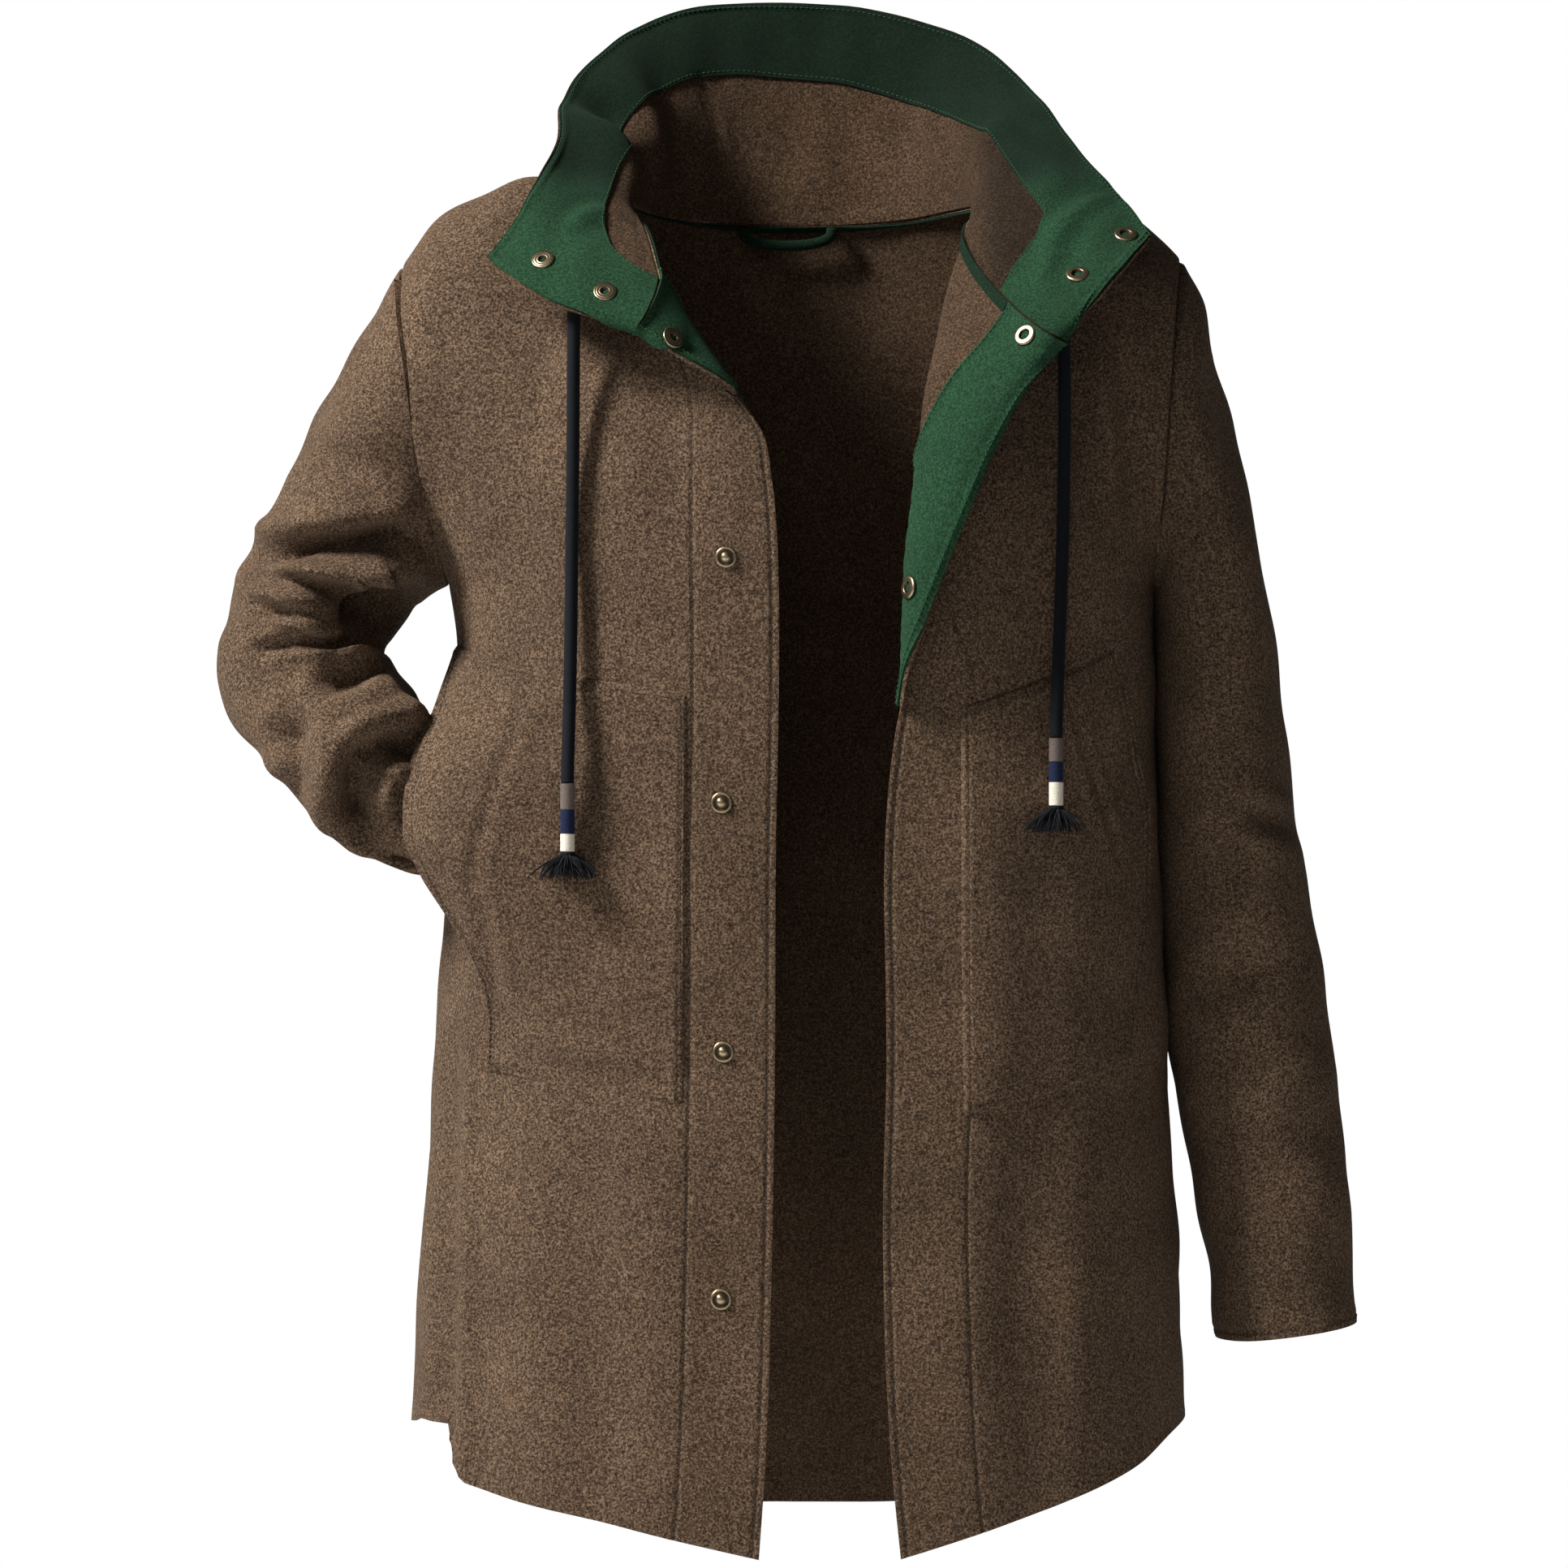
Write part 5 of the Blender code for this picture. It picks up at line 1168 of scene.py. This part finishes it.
# folds, creases and seams fade out over the lowest part, which is sewn down
sewn_down = np.clip(up_collar / 0.12, 0, 1)
close_down = np.clip(up_collar / 0.1, 0, 1)
rise = groove(distance_along(collar, 0, False), depth=0.0008)
for along, height, reach_along, reach_up, push in COLLAR_FOLDS:
    rise = rise + push * np.exp(
        -((across_collar - along) / reach_along) ** 2 - ((up_collar - height) / reach_up) ** 2
    ) * sewn_down
flat_collar = np.stack([across_collar * COLLAR_LENGTH, up_collar * COLLAR_HEIGHT], axis=-1)
rise += creases(flat_collar, COLLAR_CREASES) * sewn_down
inner_seam = groove((across_collar - COLLAR_SEAM) * COLLAR_LENGTH, depth=-0.0016, half=0.0022)
rise += inner_seam * close_down * (up_collar < COLLAR_SEAM_TOP)
rise += (stitched(from_rim, RIM_STITCH) + stitched(from_ends, RIM_STITCH)) * (from_rim > 0.0005)
rise += uneven(collar, height=0.0008, size=0.050, seed=31) * close_down
collar = collar + collar_normals * rise[..., None]
# painted shade: the collar's inner side is darkened towards the left end
COLLAR_INNER_PAINTED_SHADE = ("X", 0.090, 0.128, 0.36)
collar_inside = felt(
    "loden_brown_collar", INNER_TONES_WITH_PAINTED_SHADE, INNER_FLECKS, sheen=0.03, painted_shade_along=COLLAR_INNER_PAINTED_SHADE,
)
collar_cloth = wall("collar_cloth", collar, collar_normals, brown, inside=collar_inside)
fitted(collar_cloth, "collar")


# Green facings
# Plain green loden, thinner than the brown: a band inside the collar along its rim and down both ends,
# and a strip inside each front edge. They are sewn in with the edge and show where the cloth turns out.
FACING_WALL = 0.0014
FACING_GAP = 0.0002
FACING_INSET = 0.0011
GREEN_SHADES = ((0.0046, 0.019, 0.008), (0.0108, 0.043, 0.018), (0.021, 0.074, 0.034))
GREEN_FLECKS = (((0.055, 0.150, 0.080), 560.0, 0.018, 0.6), ((0.004, 0.018, 0.008), 460.0, 0.022, 0.8))
# painted shade: the green is darkened towards the back of the neck
GREEN_PAINTED_SHADE = ("Y", -0.085, -0.015, 0.22)
green = felt("loden_green", GREEN_SHADES, GREEN_FLECKS, sheen_tint=(0.30, 0.55, 0.36), painted_shade_along=GREEN_PAINTED_SHADE)
green_thread = thread_material("sewing_thread_green", (0.016, 0.085, 0.035), scale=2500.0, sheen=0.1)


def drawn_in(grid, **borders):
    """Pulls the borders of a grid inwards: bottom, top, first or last, each by a distance."""
    grid = grid.copy()
    for border, (edge, inner) in {
        "bottom": ((0, slice(None)), (3, slice(None))), "top": ((-1, slice(None)), (-4, slice(None))),
        "first": ((slice(None), 0), (slice(None), 3)), "last": ((slice(None), -1), (slice(None), -4)),
    }.items():
        if borders.get(border):
            grid[edge] += unit(grid[inner] - grid[edge]) * borders[border]
    return grid


inside = -(WALL + FACING_GAP)
# the band's lower edge: share along the collar, share of its height
BAND_EDGE = (
    (0.0585, 0.0), (0.066, 0.12), (0.085, 0.28), (0.11, 0.39), (0.13, 0.42), (0.2, 0.4), (0.262, 0.36),
    (0.272, 0.42), (0.285, 0.5), (0.308, 0.57), (0.35, 0.62), (0.4, 0.645), (0.46, 0.635), (0.52, 0.62),
    (0.56, 0.59), (0.6, 0.545), (0.65, 0.525), (0.73, 0.54), (0.79, 0.55), (0.865, 0.53), (0.882, 0.4),
    (0.893, 0.15), (0.905, 0.0),
)
# its rows are evenly spaced up to one height and then follow the rows by the collar's rim
BAND_ROWS = 20
BAND_EVEN_TO = 0.93
BAND_TOP_LEVELS = (0.945, 0.958, 0.97, 0.985, 1.0)
SEWN_ABOVE_EDGE = 0.022


def on_grid(grid, rows, columns):
    """Values between the points of a grid."""
    row = np.minimum(np.floor(rows).astype(int), len(grid) - 2)
    column = np.minimum(np.floor(columns).astype(int), grid.shape[1] - 2)
    up, on = np.asarray(rows - row)[..., None], np.asarray(columns - column)[..., None]
    return (
        (grid[row, column] * (1 - on) + grid[row, column + 1] * on) * (1 - up)
        + (grid[row + 1, column] * (1 - on) + grid[row + 1, column + 1] * on) * up
    )


def on_collar(shares, levels):
    """Points and outward directions of the collar at shares along it and of its height."""
    columns = np.interp(shares, collar_shares, np.arange(len(collar_shares)))
    rows = np.interp(levels, COLLAR_LEVELS, np.arange(len(COLLAR_LEVELS)))
    return on_grid(collar, rows, columns), unit(on_grid(collar_normals, rows, columns))


def band_edge(shares):
    at, level = np.array(BAND_EDGE).T
    return np.interp(shares, at, level)


band_shares = np.unique(np.concatenate([
    collar_shares, np.linspace(0.0585, 0.135, 24), np.linspace(0.86, 0.905, 16),
]))
low_levels = band_edge(band_shares)
band_levels = np.array(
    [low_levels + (BAND_EVEN_TO - low_levels) * share for share in np.linspace(0, 1, BAND_ROWS)]
    + [np.full(len(band_shares), level) for level in BAND_TOP_LEVELS]
)
band_grid, band_normals = on_collar(np.broadcast_to(band_shares, band_levels.shape), band_levels)
band = wall(
    "collar_facing_cloth",
    drawn_in(band_grid, bottom=0.0006, top=FACING_INSET, first=FACING_INSET, last=FACING_INSET),
    band_normals, green, lift=inside, thick=FACING_WALL,
)
fitted(band, "collar_facing")
green_side = inside - FACING_WALL

rim_row = closest(from_rim[:, 70], RIM_STITCH)
end_column = closest(from_right_end[10], RIM_STITCH)
rim_and_ends = (
    (rim_row, slice(end_column, -end_column)), (slice(4, rim_row), end_column),
    (slice(4, rim_row), -1 - end_column),
)
sewn_shares = np.linspace(0.060, 0.9035, 400)
sewn_levels = np.minimum(band_edge(sewn_shares) + SEWN_ABOVE_EDGE, BAND_EVEN_TO)
sewn_points, sewn_normals = on_collar(sewn_shares, sewn_levels)
band_sewn = stitches("collar_facing_stitching", [
    *(sewing_line(collar, collar_normals, places, green_side) for places in rim_and_ends),
    (sewn_points + sewn_normals * green_side, -sewn_normals),
], green_thread)
stitches("collar_stitching", [
    sewing_line(collar, collar_normals, places, ON_CLOTH) for places in rim_and_ends
], brown_thread)

facing_columns = slice(-len(FACING_STEPS), None)
for name in ("front_right", "front_left"):
    facing = name.replace("front", "facing")
    strip = wall(
        facing + "_cloth", drawn_in(grids[name][:, facing_columns], bottom=0.0015, last=FACING_INSET),
        normals[name][:, facing_columns], green, lift=inside, thick=FACING_WALL,
    )
    fitted(strip, facing)
    sewn = stitches(facing + "_stitching", [
        sewing_line(grids[name], normals[name], (slice(None), stitch_column[step]), green_side)
        for step in (EDGE_STITCH, FACING_STITCH)
    ], green_thread)


# Neck binding and hanger loop
# Dark green tape sewn flat over the neck seam inside, from one facing to the other, and a loop of the
# same tape, folded to a round cord, caught in it at both ends.
BINDING_WALL = 0.0012
# distance below the seam, and how far the tape puffs up there
TAPE_SECTION = (
    (0.0075, 0.0), (0.0068, 0.0004), (0.0055, 0.0006), (0.0035, 0.0007), (0.0018, 0.0006), (0.0008, 0.0004),
    (0.0003, 0.0),
)
LOOP_ENDS_X = (-0.0330, 0.0235)
LOOP_DROP = 0.0110
LOOP_RADIUS = 0.0038
LOOP_SIDES = 24
TAPE_GAP = 0.0004
TAPE_SHADES = ((0.0012, 0.0050, 0.0022), (0.0026, 0.0110, 0.0050), (0.0055, 0.024, 0.0105))
TAPE_FLECKS = (((0.010, 0.040, 0.020), 420.0, 0.02, 0.5),)
tape = felt("neck_tape", TAPE_SHADES, TAPE_FLECKS, sheen_tint=(0.2, 0.5, 0.3))


def seam_row(distance):
    """Points and directions on the body at a distance below the neck seam."""
    both = []
    for name, columns in (
        ("front_right", slice(None, SHOULDER_COLUMNS - 1, -1)),
        ("back", slice(SHOULDER_COLUMNS + 1, -SHOULDER_COLUMNS - 1)),
        ("front_left", slice(SHOULDER_COLUMNS, None)),
    ):
        upper = grids[name][:-15:-1, columns]
        facing = normals[name][:-15:-1, columns]
        for column in range(upper.shape[1]):
            line = np.hstack([upper[:, column], facing[:, column]])
            both.append(read_columns(distance, running_length(upper[:, column]), line))
    both = np.array(both)
    return both[:, :3], unit(both[:, 3:])


keep = slice(len(FACING_STEPS) - 1, len(seam) - len(FACING_STEPS) + 1)
tape_rows = [seam_row(distance) for distance, _ in TAPE_SECTION]
tape_grid = np.array([points[keep] for points, _ in tape_rows])
tape_normals = np.array([outward[keep] for _, outward in tape_rows])
puff = np.array(TAPE_SECTION)[:, 1, None, None]
binding = wall(
    "neck_binding_tape", tape_grid - tape_normals * puff, tape_normals, tape,
    lift=-(WALL + TAPE_GAP), thick=BINDING_WALL,
)
fitted(binding, "neck_binding")

away = tape_grid[3] + tape_normals[3] * -(WALL + 2 * TAPE_GAP + BINDING_WALL + LOOP_RADIUS)
loop_start, loop_end = read_columns(LOOP_ENDS_X, away[:, 0], away)
loop_line = []
for turn in np.linspace(0, math.pi, 61):
    share = (1 - math.cos(turn)) / 2
    sag = math.sin(turn) ** 0.6 * LOOP_DROP
    loop_line.append(loop_start + (loop_end - loop_start) * share + np.array([0, -0.10 * sag, -sag]))
loop_rings = tube_rings(
    np.array(loop_line), lambda number, angles: LOOP_RADIUS * (1 - 0.12 * np.cos(angles) ** 8), LOOP_SIDES,
)
loop_faces = ring_faces(len(loop_rings), LOOP_SIDES)
loop = add_mesh("hanger_loop_tape", loop_rings.reshape(-1, 3), loop_faces, [tape])
fitted(loop, "hanger_loop")


# Pockets
# A patch of the brown loden on each front, topstitched on top, front edge and bottom. The side edge is
# the open mouth: the right one stands off round the sleeve's end, the left one lies nearly closed.
POCKET_LIFT = 0.0004
POCKET_REACH = 0.150
POCKET_STITCH = 0.0040
MOUTH_STITCHES = (0.0040, 0.0105)
# up each pocket: its side edge (x, z) and how far that stands off the body, its front edge (x, z)
POCKET_RIGHT = (
    (0.0, -0.185, -0.517, 0.0, -0.066, -0.535), (0.1, -0.185, -0.492, 0.0, -0.066, -0.511),
    (0.2, -0.186, -0.463, 0.003, -0.066, -0.486), (0.28, -0.19, -0.442, 0.01, -0.0658, -0.466),
    (0.37, -0.196, -0.421, 0.021, -0.0655, -0.444), (0.46, -0.198, -0.4, 0.035, -0.0652, -0.422),
    (0.56, -0.198, -0.376, 0.046, -0.065, -0.397), (0.66, -0.198, -0.352, 0.0445, -0.0648, -0.373),
    (0.76, -0.199, -0.326, 0.035, -0.0646, -0.348), (0.86, -0.203, -0.296, 0.017, -0.0645, -0.324),
    (1.0, -0.207, -0.257, 0.0, -0.0645, -0.2893),
)
POCKET_LEFT = (
    (0.0, 0.203, -0.512, 0.0, 0.1, -0.542), (0.2, 0.208, -0.463, 0.0, 0.0995, -0.493),
    (0.4, 0.2135, -0.415, 0.0015, 0.099, -0.444), (0.6, 0.212, -0.366, 0.0025, 0.099, -0.395),
    (0.8, 0.205, -0.314, 0.0015, 0.099, -0.346), (1.0, 0.193, -0.258, 0.0, 0.099, -0.298),
)
# the places of the patch's rows and columns, as shares: close together round its stitching
POCKET_PLACES = np.concatenate([
    [0.0, 0.0045, 0.01, 0.018, 0.024, 0.03, 0.036, 0.045], np.linspace(0.055, 0.94, 84),
    [0.955, 0.964, 0.97, 0.976, 0.982, 0.99, 0.9955, 1.0],
])
POCKET_CREASES = (
    (-0.1575, -0.278, -0.185, -0.36, -0.194, -0.4055, 0.0045, 0.0016),
    (-0.194, -0.4055, -0.1837, -0.445, -0.1817, -0.506, 0.0045, 0.0016),
    (-0.17, -0.51, -0.12, -0.52, -0.072, -0.523, 0.008, 0.0036),
    (0.1637, -0.2853, 0.1792, -0.3362, 0.1962, -0.3896, 0.0028, 0.0022),
)


def skin(side, share, z):
    """A point of a front below the armpit and its outward direction."""
    def place(at_share, at_z):
        point = wide_point(side, FRONT, at_share, at_z)
        point[1] -= fold_rise(point) * math.sin(min(at_share, 1) * math.pi / 2)
        return point

    step = 0.004
    across = place(share + step, z) - place(share - step, z)
    upward = place(share, z + step) - place(share, z - step)
    return place(share, z), unit(np.cross(across, upward)) * -side


def pocket_grid(side, table):
    """The patch as the front's own points moved out, its side edge stood off round a hand's room."""
    points = []
    for up in POCKET_PLACES:
        side_x, side_z, stand, front_x, front_z = read_table(table, up)
        first = share_at(side, side_x, side_z)
        last = share_at(side, front_x, front_z)
        row = []
        for across in POCKET_PLACES:
            z = side_z + (front_z - side_z) * across
            point, outward = skin(side, first + (last - first) * across, z)
            away = min(abs(front_x - side_x) * across * 1.25 / POCKET_REACH, 1.0)
            lift = POCKET_LIFT + stand * math.cos(away * math.pi / 2) ** 2
            row.append(point + outward * (lift + WALL))
        points.append(row)
    return np.array(points)


def body_relief(grid, outward, seed):
    """The fronts' own creases and unevenness, so that what is sewn on them follows."""
    folded = front_and_back(grid, outward, FRONT_CREASES + POCKET_CREASES, ())
    return folded + uneven(grid, height=0.0010, size=0.075, seed=seed)


for name, side, table, front, seed, flat, area in (
    ("pocket_right", RIGHT, POCKET_RIGHT, "front_right", 11, (0.165, 0.265), 0.036),
    ("pocket_left", LEFT, POCKET_LEFT, "front_left", 12, (0.125, 0.250), 0.027),
):
    grid = pocket_grid(side, table)
    outward = surface_normals(grid, flip=side == LEFT)
    from_top = distance_along(grid, 0, True)
    from_bottom = distance_along(grid, 0, False)
    from_mouth = distance_along(grid, 1, False)
    from_front = distance_along(grid, 1, True)
    rise = body_relief(grid, outward, seed)
    for distance in (from_top, from_bottom, from_front):
        rise += stitched(distance, POCKET_STITCH) - 0.0024 * np.exp(-((distance / 0.0018) ** 2))
    for at in MOUTH_STITCHES:
        rise += stitched(from_mouth, at)
    grid = grid + outward * rise[..., None]
    made = wall(name + "_cloth", grid, outward, brown, inside=brown_inside_painted_shade)
    fitted(made, name)
    middle = len(POCKET_PLACES) // 2
    top_row = closest(from_top[:, middle], POCKET_STITCH)
    low_row = closest(from_bottom[:, middle], POCKET_STITCH)
    front_column = closest(from_front[middle], POCKET_STITCH)
    sewn = stitches(name + "_stitching", [
        sewing_line(grid, outward, places, ON_CLOTH) for places in (
            (top_row, slice(2, front_column + 1)),
            (low_row, slice(2, front_column + 1)),
            (slice(low_row, top_row + 1), front_column),
            *((slice(2, -2), closest(from_mouth[middle], at)) for at in MOUTH_STITCHES),
        )
    ], brown_thread)


# Snaps
# Seven press studs of darkened brass. On the right edge a ring with a ball outside and a plain ring
# inside; on the left edge a socket ring in the green facing, all pressed through the cloth.
SNAP_SIDES = 40
OFF_CLOTH = 0.0001
# distance from the front's edge and height of each snap; on the collar, share along it and of its height
EDGE_SNAPS_RIGHT = ((0.010, -0.0800), (0.031, -0.2085), (0.033, -0.3551), (0.031, -0.5036), (0.030, -0.6502))
EDGE_SNAPS_LEFT = ((0.025, -0.0790), (0.018, -0.2275), (0.031, -0.3640), (0.031, -0.5090), (0.031, -0.6530))
COLLAR_SNAPS_RIGHT = ((0.036, 0.66), (0.030, 0.24))
COLLAR_SNAPS_LEFT = ((0.960, 0.84), (0.958, 0.40))
# radius, height and whether the metal there is bright (0) or dark in a groove (1)
STUD_PROFILE = (
    (0.0062, -0.0004, 0), (0.0064, 0.0003, 0), (0.0062, 0.0008, 0), (0.0056, 0.0011, 0), (0.005, 0.001, 0),
    (0.0045, 0.0006, 1), (0.0034, 0.0004, 1), (0.0029, 0.0005, 1), (0.0024, 0.0014, 0), (0.0023, 0.0021, 0),
    (0.0027, 0.0026, 0), (0.0026, 0.0031, 0), (0.002, 0.0036, 0), (0.001, 0.0039, 0), (0.0002, 0.004, 0),
)
PLATE_PROFILE = (
    (0.0068, -0.0004, 0), (0.007, 0.0003, 0), (0.0068, 0.0008, 0), (0.0062, 0.0011, 0), (0.0056, 0.0009, 1),
    (0.0052, 0.0011, 0), (0.0045, 0.0013, 0), (0.004, 0.001, 1), (0.0036, 0.0012, 0), (0.0028, 0.0013, 0),
    (0.0022, 0.0009, 1), (0.0018, -0.0004, 1), (0.001, -0.0006, 1), (0.0002, -0.0006, 1),
)
SOCKET_PROFILE = (
    (0.0068, -0.0004, 0), (0.007, 0.0004, 0), (0.0068, 0.0009, 0), (0.0062, 0.0013, 0), (0.0054, 0.0014, 0),
    (0.0046, 0.0013, 0), (0.0041, 0.0015, 0), (0.0036, 0.0014, 0), (0.0031, 0.0006, 1), (0.0028, -0.0006, 1),
    (0.0016, -0.001, 1), (0.0014, -0.0004, 0), (0.0008, -0.0003, 0), (0.0002, -0.0003, 0),
)


def metal(name, colour, roughness):
    """Plated brass, a little uneven where it is rubbed."""
    made, tree, shader = new_material(name, roughness=roughness, metallic=1.0)
    wear = noise(tree, node(tree, "ShaderNodeTexCoord").outputs["Object"], 900.0, 3.0, 0.6)
    dark = tuple(0.7 * value for value in colour)
    rubbed = tuple(1.15 * value for value in colour)
    tree.links.new(ramp(tree, wear, ((0.35, dark), (0.65, rubbed))), shader.inputs["Base Color"])
    return made


bright_brass = metal("antique_brass", (0.42, 0.33, 0.20), 0.34)
dark_brass = metal("antique_brass_groove", (0.075, 0.058, 0.040), 0.45)


def snap_piece(replaced, profile, centre, direction):
    """A turned and pressed snap part standing on the cloth."""
    side = unit(np.cross(direction, np.array([0.13, 0.21, 0.97])))
    other = np.cross(direction, side)
    angles = np.linspace(0, 2 * math.pi, SNAP_SIDES, endpoint=False)
    around = np.cos(angles)[:, None] * side + np.sin(angles)[:, None] * other
    rings = [centre + direction * height + radius * around for radius, height, _ in profile]
    faces = ring_faces(len(rings), SNAP_SIDES)
    finishes = [shade for _, _, shade in profile[1:] for _ in range(SNAP_SIDES)] + [1, profile[-1][2]]
    brass = [bright_brass, dark_brass]
    made = add_mesh("snap_" + replaced, np.vstack(rings), faces, brass, face_finish=finishes)
    fitted(made, replaced)


def near_edge(grid, outward, distance, z):
    """Place and outward direction on a front, at a distance from its edge and a height."""
    steps = np.array(FACING_STEPS)[::-1]
    column = float(np.interp(distance, steps, grid.shape[1] - 1 - np.arange(len(steps))))
    rows = np.arange(len(grid))
    row = float(np.interp(z, on_grid(grid, rows, column)[:, 2], rows))
    return on_grid(grid, row, column), unit(on_grid(outward, row, column))


for side_name, edge_snaps, collar_snaps in (
    ("right", EDGE_SNAPS_RIGHT, COLLAR_SNAPS_RIGHT), ("left", EDGE_SNAPS_LEFT, COLLAR_SNAPS_LEFT),
):
    front = "front_" + side_name
    places = [near_edge(grids[front], normals[front], *snap) for snap in edge_snaps]
    places += [on_collar(share, height) for share, height in collar_snaps]
    for number, (place, outward) in enumerate(places, 1):
        inner_place = place + outward * (green_side - OFF_CLOTH)
        if side_name == "right":
            snap_piece(f"stud_{number}", STUD_PROFILE, place + outward * OFF_CLOTH, outward)
            snap_piece(f"plate_{number}", PLATE_PROFILE, inner_place, -outward)
        else:
            snap_piece(f"socket_{number}", SOCKET_PROFILE, inner_place, -outward)


# Floor and light
# A plain pale floor below the coat, a soft key light from above on the coat's right and front, and
# weak fill, so that its left side falls into shade. The sky behind the coat stands in for a white wall.
FLOOR_Z = -1.12
FLOOR_BACK_Y = 1.1
FLOOR_REACH = 6
LIT_PLACE = (0.0, 0.0, -0.35)


pale, _, _ = new_material("pale_floor", roughness=0.9, colour=(0.90, 0.90, 0.90))
floor = add_mesh("floor", [
    (-FLOOR_REACH, -FLOOR_REACH, FLOOR_Z), (FLOOR_REACH, -FLOOR_REACH, FLOOR_Z),
    (FLOOR_REACH, FLOOR_BACK_Y, FLOOR_Z), (-FLOOR_REACH, FLOOR_BACK_Y, FLOOR_Z),
], [(0, 1, 2, 3)], [pale])


def area_light(name, place, size, power, colour=(1.0, 1.0, 1.0)):
    """A soft rectangular light turned towards the middle of the coat."""
    data = bpy.data.lights.new(name, "AREA")
    data.shape = "RECTANGLE"
    data.size, data.size_y = size
    data.energy = power
    data.color = colour
    made = bpy.data.objects.new(name, data)
    made.location = place
    aim = unit(np.array(LIT_PLACE) - np.array(place))
    made.rotation_euler = (math.acos(-aim[2]), 0, math.atan2(aim[1], aim[0]) - math.pi / 2)
    bpy.context.scene.collection.objects.link(made)


area_light("key", (-2.42, -1.08, 2.05), (0.7, 0.9), 250.0, (1.0, 0.985, 0.96))
area_light("fill", (-0.6, -3.4, 1.2), (1.6, 1.6), 8.0)

# the studio is dim all round but for a white wall behind the coat
world = bpy.data.worlds.new("studio")
world.use_nodes = True
studio = world.node_tree
towards = node(studio, "ShaderNodeSeparateXYZ", {0: node(studio, "ShaderNodeTexCoord").outputs["Generated"]})
behind = between(studio, towards.outputs["Y"], 0.80, 0.93, 0.05, 1.0)
studio.links.new(behind, studio.nodes["Background"].inputs["Strength"])
studio.nodes["Background"].inputs["Color"].default_value = (1.0, 1.0, 1.0, 1.0)
bpy.context.scene.world = world
bpy.context.scene.view_settings.view_transform = "Standard"
